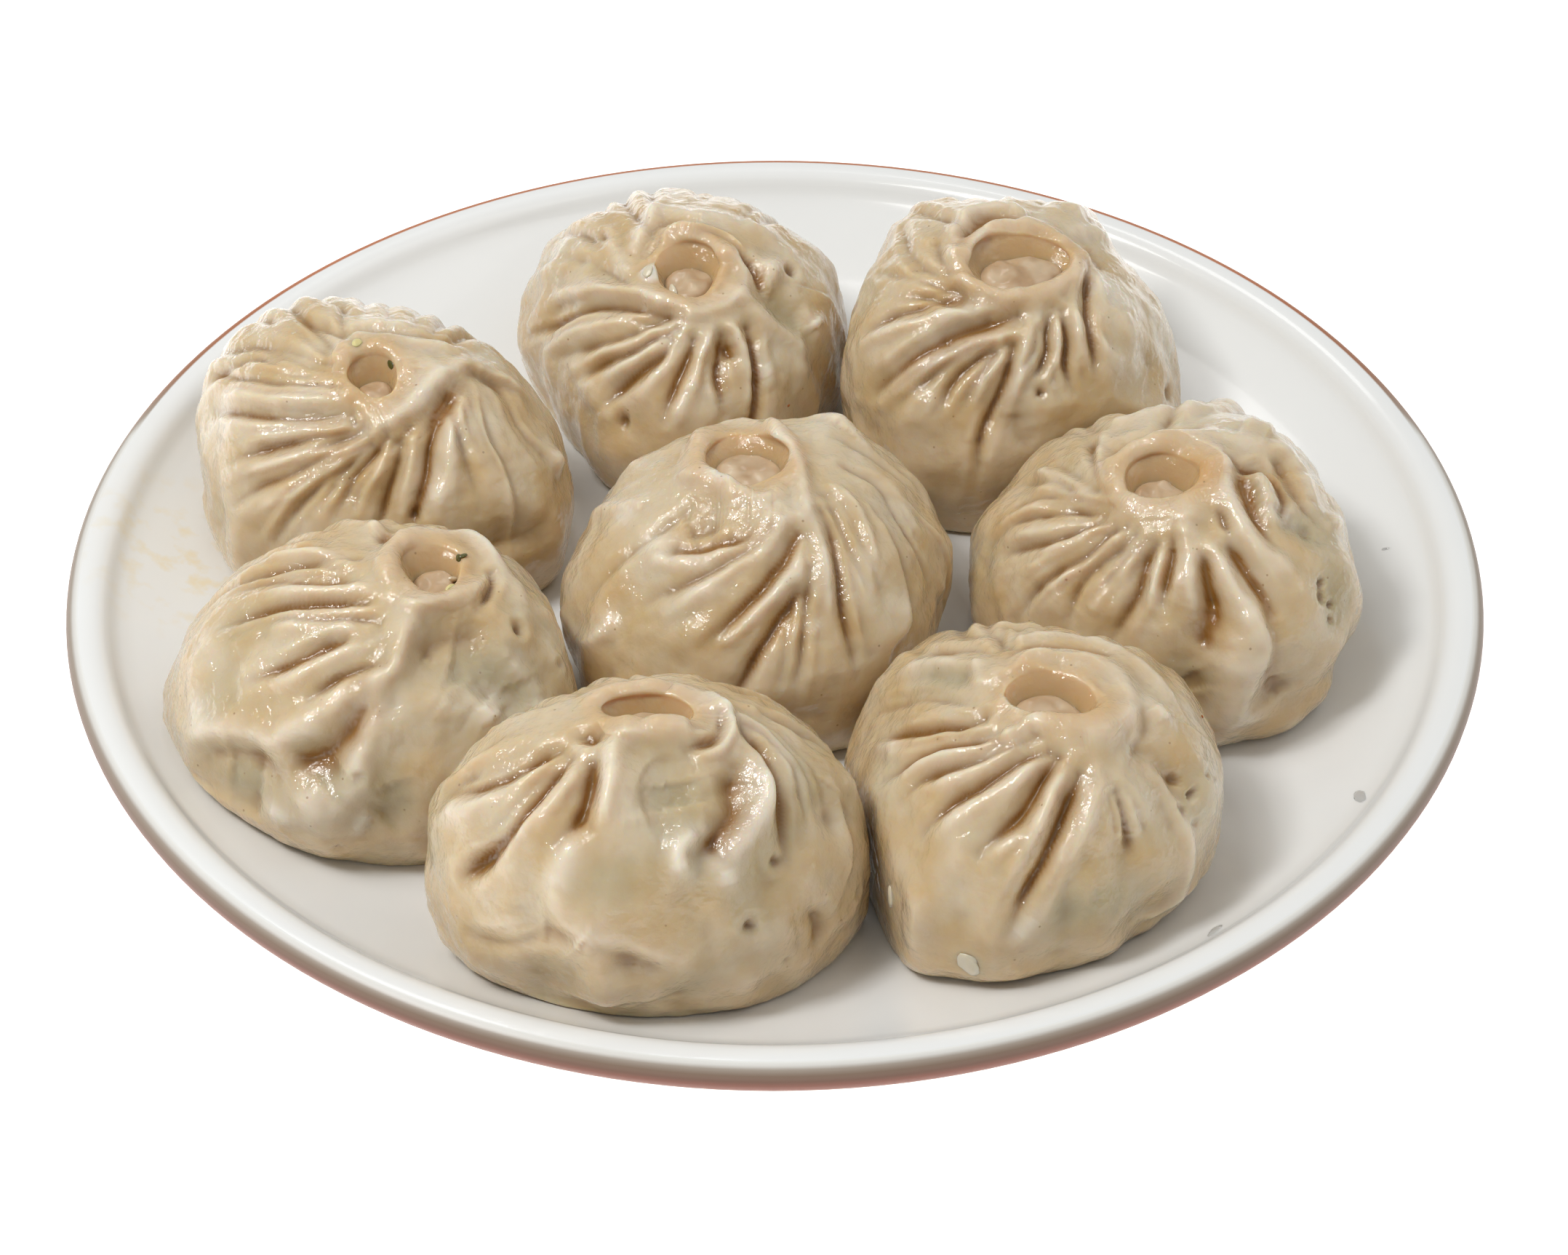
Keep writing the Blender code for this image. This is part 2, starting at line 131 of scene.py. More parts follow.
light = {  # place and size in metres, power in watts, colour
    "key": ((-0.35, -0.09, 0.78), 0.36, 2.05, "#fffefb"),
    "glint": ((-0.10, 0.40, 0.58), 0.16, 0.22, "#ffffff"),
    "spark": ((-0.34, -0.16, 0.62), 0.16, 1.7, "#ffffff"),
    "side": ((0.50, 0.05, 0.60), 0.70, 1.05, "#ffffff"),
}
for name, (place, size, power, colour) in light.items():
    bpy.ops.object.light_add(type="AREA", location=place)
    lamp = bpy.context.object
    lamp.name = name + "Light"
    lamp.data.size = size
    lamp.data.energy = power
    lamp.data.color = hexColour(colour)[:3]
    aim = math.hypot(place[0], place[1])
    lamp.rotation_euler = (math.atan2(aim, place[2]), 0, math.atan2(place[1], place[0]) + math.pi / 2)

room = {"colour": "#fffffc", "strength": 0.355}
world = bpy.data.worlds.new("softRoom")
world.use_nodes = True
world.node_tree.nodes["Background"].inputs[0].default_value = hexColour(room["colour"])
world.node_tree.nodes["Background"].inputs[1].default_value = room["strength"]
bpy.context.scene.world = world
bpy.context.scene.view_settings.view_transform = "Standard"
print("camera, floor and light are set")

# plate

plate = {
    "flat": 70.0, "wall": 103.5, "floor": 7.0, "wallTop": 17.0, "curve": 2.2, "turns": 192, "outsideFrom": 108.75,
    # radii in mm at which the well is turned, then radius and height over the rim, below it and round the foot
    "well": (6, 25, 45, 60, 68, 72, 76, 80, 84, 88, 92, 95, 98, 100.5, 102.6),
    "rim": (
        (103.5, 17.3), (104.1, 18.1), (104.7, 18.9), (105.5, 19.6), (106.5, 20.0), (107.6, 20.25), (108.6, 20.3),
        (108.9, 20.29), (109.4, 20.2), (110.0, 19.9), (110.4, 19.45), (110.6, 18.9), (110.7, 18.3), (110.6, 17.4),
        (110.3, 16.5),
    ),
    "underside": (
        (109.6, 15.4), (108.2, 14.0), (105.6, 12.0), (101, 9.9), (94, 8.0), (86, 6.4), (76, 4.9), (70, 4.1),
        (67.6, 3.5),
    ),
    "foot": (
        (66.6, 2.6), (66.1, 0.6), (65.7, 0.1), (65.0, 0.0), (59.2, 0.0), (58.4, 0.15), (57.9, 0.7), (57.3, 2.3),
        (56.5, 2.8), (40, 2.9), (20, 2.9), (6, 2.9),
    ),
}


def wellHeight(radius):
    # height of the well in mm at a radius in mm: flat, then rising in a curve to the rim
    share = np.clip((radius - plate["flat"]) / (plate["wall"] - plate["flat"]), 0, 1.2)
    return plate["floor"] + (plate["wallTop"] - plate["floor"]) * share ** plate["curve"]


deselectAll()
profile = [(radius, float(wellHeight(radius))) for radius in plate["well"]]
profile += [*plate["rim"], *plate["underside"], *plate["foot"]]
bpy.ops.mesh.primitive_circle_add(
    vertices=plate["turns"], radius=profile[0][0] * mm, fill_type="NOTHING", location=(0, 0, profile[0][1] * mm)
)
plateGlazed = bpy.context.object
plateGlazed.name = "plateGlazed"
bpy.ops.object.transform_apply(location=True, rotation=True, scale=True)
bpy.ops.object.mode_set(mode="EDIT")
bpy.ops.mesh.select_mode(type="EDGE")
bpy.ops.mesh.select_all(action="SELECT")
for (radius, height), (nextRadius, nextHeight) in zip(profile, profile[1:]):
    bpy.ops.mesh.extrude_edges_move(TRANSFORM_OT_translate={"value": (0, 0, (nextHeight - height) * mm)})
    grow = nextRadius / radius
    bpy.ops.transform.resize(value=(grow, grow, 1), center_override=(0, 0, 0))
bpy.ops.mesh.edge_face_add()
bpy.ops.mesh.select_all(action="DESELECT")
bpy.ops.object.mode_set(mode="OBJECT")
for edge in plateGlazed.data.edges:
    ends = [plateGlazed.data.vertices[v].co for v in edge.vertices]
    edge.select = all(abs(math.hypot(c.x, c.y) - profile[0][0] * mm) < 1e-5 and c.z > 0.005 for c in ends)
bpy.ops.object.mode_set(mode="EDIT")
bpy.ops.mesh.edge_face_add()
bpy.ops.mesh.select_all(action="SELECT")
bpy.ops.mesh.normals_make_consistent(inside=False)
bpy.ops.object.mode_set(mode="OBJECT")
bpy.ops.object.shade_smooth()
outside = plateGlazed.data.attributes.new("outside", "FLOAT", "POINT")
for i, corner in enumerate(plateGlazed.data.vertices):
    reach = math.hypot(corner.co.x, corner.co.y) / mm
    beyond = reach > plate["outsideFrom"] or corner.co.z / mm < float(wellHeight(reach)) - 1
    outside.data[i].value = 1.0 if beyond else 0.0

# glazed stoneware: a thick milky glaze with a mirror gloss and a warm grey body under the well. Round the
# outside edge a band of painted shade and painted orange reflection is laid in the colour, its line wandering
# from under the rim in front to over its edge behind
glazed = {
    "milky": "#eff1f1", "thinner": "#ebecec", "cloud": 30.0, "oil": "#ecd59a", "oilDrop": 4.0,
    # the colour of the far edge is a painted orange reflection
    "oilPlace": (-95.0, 2.0, 12.0), "oilReach": 22.0, "edge": "#eeefec", "farEdgeReflection": "#c47a50",
    # share of the way down the outside edge, and the painted shade and painted orange reflection there
    "shadeAndReflection": (
        (0.05, "#a4988c"), (0.13, "#836d5c"), (0.24, "#724c38"), (0.34, "#7c3c20"), (0.62, "#8a4020"),
        (0.96, "#8f4c2e"),
    ),
}
whiteGlaze, tree = newMaterial("whiteGlaze")
place = addNode(tree, "ShaderNodeTexCoord")
inMm = addNode(tree, "ShaderNodeMapping", {0: place.outputs["Object"], "Scale": (1000, 1000, 1000)})
apart = addNode(tree, "ShaderNodeSeparateXYZ", {0: inMm.outputs[0]})
cloud = addNode(tree, "ShaderNodeTexNoise", {"Vector": inMm.outputs[0], "Scale": 1 / glazed["cloud"], "Detail": 3.0})
glaze = addNode(
    tree, "ShaderNodeMix", {0: cloud.outputs[0], 6: hexColour(glazed["milky"]), 7: hexColour(glazed["thinner"])},
    data_type="RGBA",
)
oilFilm = addNode(
    tree, "ShaderNodeTexNoise", {"Vector": inMm.outputs[0], "Scale": 1 / glazed["oilDrop"], "Detail": 4.0}
)
oilDrops = addNode(tree, "ShaderNodeMapRange", {0: oilFilm.outputs[0], 1: 0.5, 2: 0.68, 3: 0.05, 4: 0.55})
oilReach = addNode(tree, "ShaderNodeVectorMath", {0: inMm.outputs[0], 1: glazed["oilPlace"]}, operation="DISTANCE")
oilNear = addNode(
    tree, "ShaderNodeMapRange", {0: oilReach.outputs["Value"], 1: 4.0, 2: glazed["oilReach"], 3: 1.0, 4: 0.0}
)
oilShare = addNode(tree, "ShaderNodeMath", {0: oilDrops.outputs[0], 1: oilNear.outputs[0]}, operation="MULTIPLY")
glaze = addNode(
    tree, "ShaderNodeMix", {0: oilShare.outputs[0], 6: glaze.outputs[2], 7: hexColour(glazed["oil"])},
    data_type="RGBA",
)
# the line where the painted shade and reflection start, in mm above the table, and how far below it they are full
lineHeight = addNode(tree, "ShaderNodeMapRange", {0: apart.outputs[1], 1: 25.0, 2: 70.0, 3: 20.35, 4: 22.0})
lineWidth = addNode(tree, "ShaderNodeMapRange", {0: apart.outputs[1], 1: -60.0, 2: 100.0, 3: 8.0, 4: 5.0})
below = addNode(tree, "ShaderNodeMath", {0: lineHeight.outputs[0], 1: apart.outputs[2]}, operation="SUBTRACT")
belowShare = addNode(tree, "ShaderNodeMath", {0: below.outputs[0], 1: lineWidth.outputs[0]}, operation="DIVIDE")
# down the outside edge the glaze turns from painted shade to a painted orange reflection
edgeShadeAndReflection = addNode(tree, "ShaderNodeValToRGB", {0: belowShare.outputs[0]})
for end in edgeShadeAndReflection.color_ramp.elements:
    end.color = hexColour(glazed["edge"])
for spot, tone in glazed["shadeAndReflection"]:
    edgeShadeAndReflection.color_ramp.elements.new(spot).color = hexColour(tone)
outer = addNode(tree, "ShaderNodeAttribute", attribute_name="outside")
# behind, the painted orange reflection shows as a thin line over the edge
farther = addNode(tree, "ShaderNodeMapRange", {0: apart.outputs[1], 1: 15.0, 2: 75.0, 3: 0.0, 4: 0.85})
pastLine = addNode(tree, "ShaderNodeMapRange", {0: belowShare.outputs[0], 1: 0.03, 2: 0.12})
farReflectionShare = addNode(tree, "ShaderNodeMath", {0: farther.outputs[0], 1: pastLine.outputs[0]}, operation="MULTIPLY")
edgeWithReflection = addNode(
    tree, "ShaderNodeMix", {0: farReflectionShare.outputs[0], 6: edgeShadeAndReflection.outputs[0], 7: hexColour(glazed["farEdgeReflection"])},
    data_type="RGBA",
)
glaze = addNode(
    tree, "ShaderNodeMix", {0: outer.outputs["Fac"], 6: glaze.outputs[2], 7: edgeWithReflection.outputs[2]}, data_type="RGBA"
)
gloss = addNode(tree, "ShaderNodeMapRange", {0: outer.outputs["Fac"], 1: 0.0, 2: 1.0, 3: 0.16, 4: 0.4})
glossCoat = addNode(tree, "ShaderNodeMapRange", {0: outer.outputs["Fac"], 1: 0.0, 2: 1.0, 3: 0.4, 4: 0.0})
ceramic = addNode(
    tree, "ShaderNodeBsdfPrincipled",
    {
        "Base Color": glaze.outputs[2], "Roughness": gloss.outputs[0], "IOR": 1.5,
        "Coat Weight": glossCoat.outputs[0], "Coat Roughness": 0.05,
    },
)
addNode(tree, "ShaderNodeOutputMaterial", {"Surface": ceramic.outputs[0]})
plateGlazed.data.materials.append(whiteGlaze)
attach(plateGlazed, "root")
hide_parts("plate")
print("plate is turned")

# dumplings: what all eight share, in mm

fold = {
    "columns": 400, "equator": 0.30, "tuck": 0.10, "ropeWidth": 2.2, "lip": 0.7,
    "lipWidth": 1.3, "throat": 4.6, "gap": 0.3, "press": 1.2, "seat": 0.12, "crust": 0.9,
    # how far the floor of the hole lies aside from its edge
    "drift": (0.3, -1.3),
    # share of the hole's size and depth, from the floor of the hole up to its edge
    "bowl": (
        (0.62, 4.6), (0.65, 4.0), (0.69, 3.4), (0.73, 2.7), (0.77, 2.1),
        (0.82, 1.5), (0.87, 1.0), (0.915, 0.6), (0.955, 0.28), (0.988, 0.07),
    ),
}

# place is the middle of the foot on the plate, half the half widths and height the height, all in mm.
# dome, square, lobe and skew shape the top and the outline, and lean moves the top sideways.
# hole: its middle, half width and half depth, turned by turn degrees. pinch: direction in degrees and reach
# of the gathered neck round it. fillTop: how far the filling lies below the dome. seed: its own randomness.
# back: the side with made-up pleats, in degrees. sheer: how see-through the dough is. pits: middle and reach
# of bubbly skin. folds: (kind, height or depth, half width, points along it from the middle of the foot), in
# mm. v is a crease with painted shade in it, r a ridge with a painted sheen, s a step that is raised on its
# left with painted shade below it, w a ridge with a strong painted highlight, t a dent in thin dough, d a dent
# with painted shade, y a yellowish ridge, f a pale flake on the skin.
dumplings = {
    "back_left": {
        "place": (-64.6, 16.8), "half": (30.3, 26.5), "height": 37.4, "dome": 2.4, "square": 2.45,
        "lobe": (0.04, 0), "skew": -0.089, "lean": (-2.3, 2.3), "hole": (4.2, -8.7, 4, 4.3),
        "turn": 0, "pinch": (12, 14), "fillTop": 3, "seed": 11, "back": (34, 168), "sheer": 0.12,
        "folds": (
            ("v", 2.4, 1.7, ((13.9, -9.3, 33.4), (12.5, -12.9, 32.3), (11.4, -16.4, 30.3),
                (10.9, -19.7, 27.1), (9.7, -22.5, 23.6), (8.6, -24.2, 20.5))),
            ("v", 0.7, 1.2, ((14.4, -5.9, 34.1), (14.2, -10.4, 32.9), (15.2, -13.7, 30.8),
                (16.6, -17, 27.7), (17.9, -19.6, 24))),
            ("v", 0.7, 1.1, ((16.3, -4.1, 33.6), (17, -8.2, 32.4), (18.7, -12.9, 29.4), (20.7, -16, 25.8))),
            ("s", 1.5, 4, ((23.5, -20.7, 15.7), (23.2, -18.6, 20.4), (21.9, -15.4, 25.3),
                (19.5, -12.3, 29.3), (17.8, -5.5, 32.6))),
            ("v", 0.9, 1.5, ((17.4, -2.7, 33.1), (21.5, -2.6, 30.4), (24.6, -7.4, 27), (27.2, -8.9, 23.3),
                (28.9, -9.1, 20.4))),
            ("r", 1.3, 2.2, ((29.8, -7.2, 19.4),)),
            ("v", 1.4, 1.5, ((-1, -13.3, 34.1), (-5.7, -13.5, 33.3), (-10.4, -13, 32.7),
                (-16.7, -10.7, 31.4), (-22.9, -5.3, 28.4))),
            ("v", 1.3, 1.5, ((1.1, -14.8, 33.2), (-3.3, -15.9, 31.7), (-7.9, -16.1, 31), (-12.7, -16, 29.6),
                (-17.9, -15.1, 27))),
            ("v", 1.2, 1.4, ((1.6, -16.2, 31.9), (-2.3, -17.5, 30.4), (-6.7, -18.9, 28.4),
                (-10.7, -19.6, 26.4), (-15, -19.2, 24.3), (-18.5, -18.5, 21.4))),
            ("v", 1, 1.3, ((2.4, -17.3, 30.8), (-1.2, -19.5, 28.4), (-4, -20.4, 26.9), (-6.9, -21.6, 24.6),
                (-9.4, -22.4, 22.1), (-12.9, -23.1, 17.3))),
            ("v", 1.5, 1.4, ((4.8, -16.4, 31.6), (1.9, -19.1, 29), (-.5, -20.9, 26.6), (-2, -22.5, 24))),
            ("v", 1.6, 1.2, ((7, -17.1, 30.6), (6, -19.8, 27.9), (4.7, -22.1, 24.9), (3.7, -23.9, 21.6))),
            ("v", 1, 1.2, ((-2.9, -9.4, 35.7), (-7, -8.3, 35.7), (-13.4, -6.6, 34.7), (-19.6, -2.1, 32.5),
                (-24.9, 4.5, 28.6))),
            ("v", 0.6, 1.2, ((-3.4, -6.7, 36.5), (-7.6, -4.9, 36.5), (-12, -1.8, 36.2), (-16, 2.3, 35.1))),
            ("v", 0.7, 1.2, ((-3.2, -3.7, 37), (-6, .9, 37.3), (-9.3, 6.1, 37), (-11, 9.7, 36.4))),
            ("r", 0.6, 1.1, ((-3.8, -5, 36.8), (-4.2, -.9, 37.3), (-6.1, 3.8, 37.3))),
            ("v", 0.6, 1, ((-2.5, -.7, 37.3), (-4.1, 4.7, 37.4), (-4.8, 11.9, 36.4))),
            ("r", 0.9, 1.5, ((-3.1, -5.1, 36.9), (-2.4, -1.5, 37.3), (-.2, 1.2, 37.4), (4.9, 1.6, 37),
                (9.9, 1.2, 36.1), (13.8, 1.7, 34.8))),
            ("v", 0.7, 1.2, ((-1.8, 3.5, 37.4), (3, 3.2, 37.2), (8.6, 3.2, 36.3), (13.2, 3.9, 34.8))),
            ("r", 0.8, 1.2, ((-2.5, 5, 37.3), (1.5, 5.9, 37.1), (6.8, 5, 36.6), (11.5, 5.1, 35.3))),
            ("r", 1.1, 2, ((15.7, -1, 34), (12.8, -4.8, 34.9), (9.9, -10.1, 34.8), (6.7, -13.6, 34.1),
                (2.4, -15.4, 32.7))),
            ("r", 0.8, 3, ((8.6, -5.1, 36.5), (11.5, -2.7, 35.6))),
            ("v", 1, 1.5, ((14.4, -6.8, 33.9), (11.9, -10.5, 33.7), (9.1, -14.1, 32.7), (6.5, -16.7, 31.1))),
            ("r", 0.7, 1.2, ((13.2, -10.8, 33.1), (13.9, -13.9, 31.2), (14.7, -18.1, 27.5),
                (14.3, -21.8, 23))),
            ("s", 1.3, 3, ((16.6, -2.5, 33.5), (20.2, -1.2, 31.4), (23, -.7, 29), (25.9, -.4, 25.9))),
            ("v", 1.4, 3, ((19.4, -23.5, 14.5), (22.9, -21.5, 14.9), (26.8, -18.1, 14.7),
                (29.1, -13.6, 16.4))),
            ("r", 0.8, 2, ((-1.4, -10.5, 35.6), (-7, -9.8, 35.1), (-14.5, -8.1, 33.8), (-23.1, -1, 29.6))),
            ("r", 0.8, 1.8, ((-2.4, -14.8, 32.7), (-7.9, -14.6, 32.2), (-14.3, -13.1, 31.2), (-24, -6, 26.6))),
            ("r", 0.7, 1.6, ((-1.2, -17.3, 30.7), (-6.5, -17.8, 29.7), (-12.5, -17.8, 27.8),
                (-18.5, -16.1, 25.3))),
            ("r", 0.6, 1.5, ((-1, -18.3, 29.7), (-5.5, -19.7, 27.7), (-10.2, -20.6, 25), (-16.6, -20.1, 21))),
            ("w", 0.3, 1.6, ((11.3, -20.6, 25.9), (11.9, -22, 23.6))),
            ("v", 1.2, 0.9, ((9, -23.2, 22.4), (8.6, -23.9, 21.1))),
            ("v", 0.8, 0.8, ((-.8, -14.5, 33.1), (0, -14.7, 33.1))),
        ),
    },
    "back_middle": {
        "place": (-15.7, 53), "half": (27.8, 32), "height": 35.3, "dome": 2, "square": 1.9,
        "lobe": (0, 0.06), "skew": -0.048, "lean": (0.4, 1.2), "hole": (0.8, -10.6, 5.7, 6),
        "turn": 0, "pinch": (-40, 11), "fillTop": 2.6, "seed": 12, "back": (42, 158), "sheer": 0.3,
        "folds": (
            ("r", 1.1, 2, ((-7.3, -13.2, 31.7), (-3.4, -16.9, 31.9), (.7, -18.6, 31.5), (4.8, -18.1, 31),
                (8.3, -15.5, 31.1), (10.5, -12.3, 31.3), (11, -9.3, 31.9))),
            ("r", 1, 1.7, ((11.1, -10, 31.7), (8.9, -7.3, 33.5), (5.8, -5.9, 35.2), (2.2, -3.2, 35.7),
                (-1.3, -1.6, 35.4), (-4.3, -3.5, 34.8))),
            ("r", 1.2, 2.2, ((9.3, -14, 31.3), (12.1, -15.2, 29.3), (15.4, -15.9, 26.7),
                (19.2, -15.6, 22.8), (19.9, -17.7, 20))),
            ("v", 2.6, 1.6, ((10.3, -6.1, 32.9), (12.4, -8.2, 31.5), (13.3, -10.2, 30.5))),
            ("t", 1.3, 3.2, ((14, -11.8, 29.5), (17.2, -12.4, 26.8), (20.4, -11.8, 23.7))),
            ("w", 1.3, 2.2, ((21.3, -9.8, 23.5), (22.1, -10.4, 21.9))),
            ("r", 1.4, 1.7, ((15.5, -3.6, 30.7), (14.4, -7.3, 30.6), (13.6, -10.7, 30.1))),
            ("s", 1.3, 5, ((1, -2.2, 35.7), (5.8, -2.5, 34.8), (8.9, -4.3, 33.7), (12.5, -6.5, 31.8))),
            ("r", 0.9, 1.8, ((-7.7, -3.3, 33.6), (-6.3, .7, 34.5), (-3.7, 5, 34.9), (1.5, 2.9, 35.2),
                (5.7, 3, 34.8))),
            ("v", 0.7, 1.2, ((-7.2, -5.3, 33.5), (-5.7, -2.9, 34.3), (-4.1, .5, 34.9), (-.9, .3, 35.3))),
            ("r", 0.7, 2.2, ((5.7, 3, 34.8), (11.5, 2.5, 33.3), (16.4, .9, 30.8), (19.6, .2, 28.3))),
            ("v", 1.4, 1.2, ((18.3, -3.3, 28.8),)),
            ("v", 1.2, 0.9, ((-13.7, 3.3, 32.1), (-12.4, .4, 32.5))),
            ("r", 0.5, 1.2, ((-13, 3.3, 32.5), (-11.4, -2.1, 32.4), (-8.1, -11.1, 31.9))),
            ("v", 0.8, 1.4, ((-14.4, -3.9, 30.4), (-11.1, -8, 31), (-8.5, -11.1, 31.6))),
            ("r", 0.7, 1.1, ((-8, -3.8, 33.4), (-6.1, 0, 34.5), (-4.4, 7.8, 34.5), (-3.3, 11.7, 33.6))),
            ("r", 1, 1.8, ((-3.4, -16.6, 32.1), (-8, -13, 31.2), (-12.7, -9.7, 29.4), (-18.7, -5.6, 26.2),
                (-24, -1.6, 21.7))),
            ("v", 1.5, 1.5, ((.4, -19.8, 30.4), (-4.6, -17.9, 30.5), (-9.7, -14.5, 29.5),
                (-14.6, -11.4, 27.1), (-19.6, -8.9, 23.1), (-24.8, -4.5, 17.4))),
            ("r", 0.7, 1.3, ((-3.3, -18.3, 30.9), (-9, -16.6, 28.8), (-14, -15.3, 25.7),
                (-18.7, -12.3, 21.7))),
            ("v", 1.1, 1.3, ((-1.9, -19.5, 30.4), (-6.1, -19.7, 28.6), (-10.1, -19.4, 26.4),
                (-14.5, -17.4, 23.6), (-18.4, -14.6, 20))),
            ("r", 0.8, 1.1, ((1.3, -19.7, 30.5), (-3.5, -20.8, 28.9), (-8.1, -21.4, 26.4),
                (-15.1, -18.4, 22))),
            ("v", 1.2, 1.2, ((-.5, -21.3, 29.3), (-4.6, -22, 27.7), (-8.2, -22.4, 25.6),
                (-11.5, -21.4, 23.6), (-15.4, -19.9, 19.9))),
            ("r", 0.8, 1.3, ((.2, -21.1, 29.4), (-3.3, -22.9, 27.6), (-8, -23.9, 24.5), (-13.9, -22.3, 19.5))),
            ("v", 1.5, 1.2, ((-1, -22.7, 28.3), (-2.8, -24.7, 26.4), (-5.4, -25.3, 24.8),
                (-7.7, -25.6, 22.9), (-11.1, -25.7, 19.3))),
            ("r", 0.8, 1.4, ((-.1, -22.9, 28.2), (-2.2, -25.5, 25.8), (-4.6, -27.5, 23), (-6.9, -28.5, 20))),
            ("v", 1.9, 1.3, ((2.3, -22.6, 28.4), (1.5, -24.9, 26.7), (-.1, -27.7, 24.1), (-1.5, -29.8, 21.3))),
            ("r", 0.9, 1.8, ((3.6, -22.5, 28.3), (2.6, -26.6, 25.2), (1.2, -29.3, 22.3), (-1.1, -31.8, 18.1))),
            ("r", 0.5, 0.8, ((5.3, -20.9, 29.1), (4.1, -24.5, 26.8))),
            ("v", 2.4, 1.2, ((7, -21.1, 28.5), (6.6, -24, 26.6), (6.4, -26.8, 24.1), (7, -28.8, 21.6))),
            ("v", 1.6, 1.7, ((8.2, -22, 27.5), (9, -24.2, 25.4))),
            ("r", 1, 1.4, ((8.5, -19.5, 28.9), (10.7, -22.3, 26), (11.5, -25.2, 22.8), (11.7, -28.5, 18.3))),
            ("v", 2.6, 1.5, ((11.2, -18.7, 28.1), (12.2, -21.9, 25.3), (12.7, -24.7, 22.3),
                (12.5, -28.8, 16.4))),
            ("v", 1.3, 1.3, ((-9.3, -28.5, 17.1), (-9.7, -28.9, 15.3))),
            ("w", 0.5, 2, ((13.3, -22.7, 23.8), (14.2, -23.9, 21.8))),
            ("r", 0.8, 2.5, ((-17.6, -15.9, 20.3), (-16.5, -19.4, 18.5), (-12.4, -25.5, 17.2))),
            ("v", 0.8, 1.2, ((-22.1, -4.7, 22.6), (-16.4, -8.6, 26.9))),
            ("f", 1, 2, ((-4.5, -10.3, 33.1),)),
        ),
    },
    "back_right": {
        "place": (39.8, 43.1), "half": (28.1, 30.5), "height": 40.5, "dome": 2.2, "square": 2.25,
        "lobe": (0.03, -0.037), "skew": 0.019, "lean": (-5.5, 1), "hole": (4.8, -6.7, 8.8, 6.6),
        "turn": 21, "pinch": (16, 11.5), "fillTop": 2, "seed": 13, "back": (34, 148), "sheer": 0.2,
        "folds": (
            ("r", 1.1, 2, ((-9.1, -5.6, 39.9), (-6.4, -1, 40.5), (-1.8, 2.1, 40.4), (3.1, 3.4, 39.6),
                (6.6, .9, 39.3))),
            ("r", 0.9, 1.5, ((-8.4, -10.9, 38.6), (-4.5, -13.7, 37.7), (-.1, -13, 37.2), (4, -11.4, 37.1),
                (7.6, -8.3, 37), (10.2, -2.7, 36.9), (9.7, .1, 37.8), (7.5, .8, 39))),
            ("v", 1.7, 2, ((-9.5, -3, 40.2), (-7.7, 1.8, 40.4), (-5, 5.5, 40.3), (-1.2, 5.8, 40))),
            ("r", 1, 1.5, ((-10.1, -5.1, 39.9), (-9.9, 1, 40.2), (-7.9, 6.1, 40.2), (-4.2, 8.6, 39.8),
                (-.6, 9.7, 39.3), (1.4, 4.6, 39.7))),
            ("v", 0.8, 1.2, ((-18.7, 10.5, 35.3), (-18, .6, 37.6), (-16.4, -5, 38.4), (-12.7, -10, 38.4),
                (-8.7, -12.7, 37.8))),
            ("v", 0.7, 1.1, ((-13.6, -1.3, 39.5), (-12.2, -7.8, 39.1), (-10.3, -11.4, 38.3))),
            ("v", 0.6, 1.1, ((-23.1, -.3, 33.3), (-18.6, -7, 37.1), (-13.4, -10.7, 38), (-8.4, -13, 37.7))),
            ("r", 0.6, 1, ((-10.9, -4, 39.9), (-11.2, -7.9, 39.2), (-9.6, -11.5, 38.3))),
            ("v", 0.8, 1.3, ((-10, -13.4, 37.5), (-14.8, -12.4, 37.1), (-18.8, -10.7, 36))),
            ("v", 1.1, 1.4, ((-8, -14.7, 36.9), (-12.4, -13.5, 37.1), (-17, -13.8, 35.6),
                (-21.3, -13.1, 33.3), (-24.3, -12.5, 30.4))),
            ("r", 0.8, 1.2, ((-7.2, -15.3, 36.5), (-11.4, -16, 36), (-15.8, -16.3, 34.7),
                (-21.6, -15.1, 31.9), (-25.5, -13.2, 28.1))),
            ("v", 3.2, 2.1, ((-.8, -16.2, 35.7), (-5.2, -17.7, 34.9), (-10, -18.9, 34.1),
                (-13.9, -20, 32.5), (-17.2, -20.6, 30.5), (-19.9, -21, 28.1), (-22.3, -20.6, 25.7))),
            ("r", 1, 1.5, ((-.6, -16.6, 35.3), (-7.3, -19.7, 33.5), (-12.3, -21.3, 31.6),
                (-17.1, -21.5, 29.7), (-20.2, -21.8, 26.8), (-22.9, -21.6, 22.8))),
            ("v", 1.1, 1.3, ((-5.1, -19.9, 33.1), (-9.1, -20.8, 32.4), (-12.7, -22.2, 30.6),
                (-15.4, -23.2, 28.4), (-18.9, -23.7, 25.1))),
            ("v", 1.4, 1.2, ((-5.4, -20.8, 32.3), (-7.3, -22, 31.3), (-9.8, -23.2, 29.8),
                (-11.7, -24.4, 28), (-13, -25.6, 25.8))),
            ("v", 1.1, 1.2, ((-2.8, -19.8, 32.9), (-5, -21.7, 31.3), (-6.6, -23.3, 29.8),
                (-8.3, -24.9, 27.6), (-9.3, -25.9, 25.9))),
            ("r", 0.7, 1.2, ((-3.6, -21, 31.9), (-6.9, -23.8, 29.1), (-7.9, -25.6, 26.4))),
            ("r", 0.8, 1.5, ((1.5, -16.9, 34.6), (-.3, -21.2, 31.2), (-1.9, -24.3, 27.7),
                (-3.5, -26.5, 24.4))),
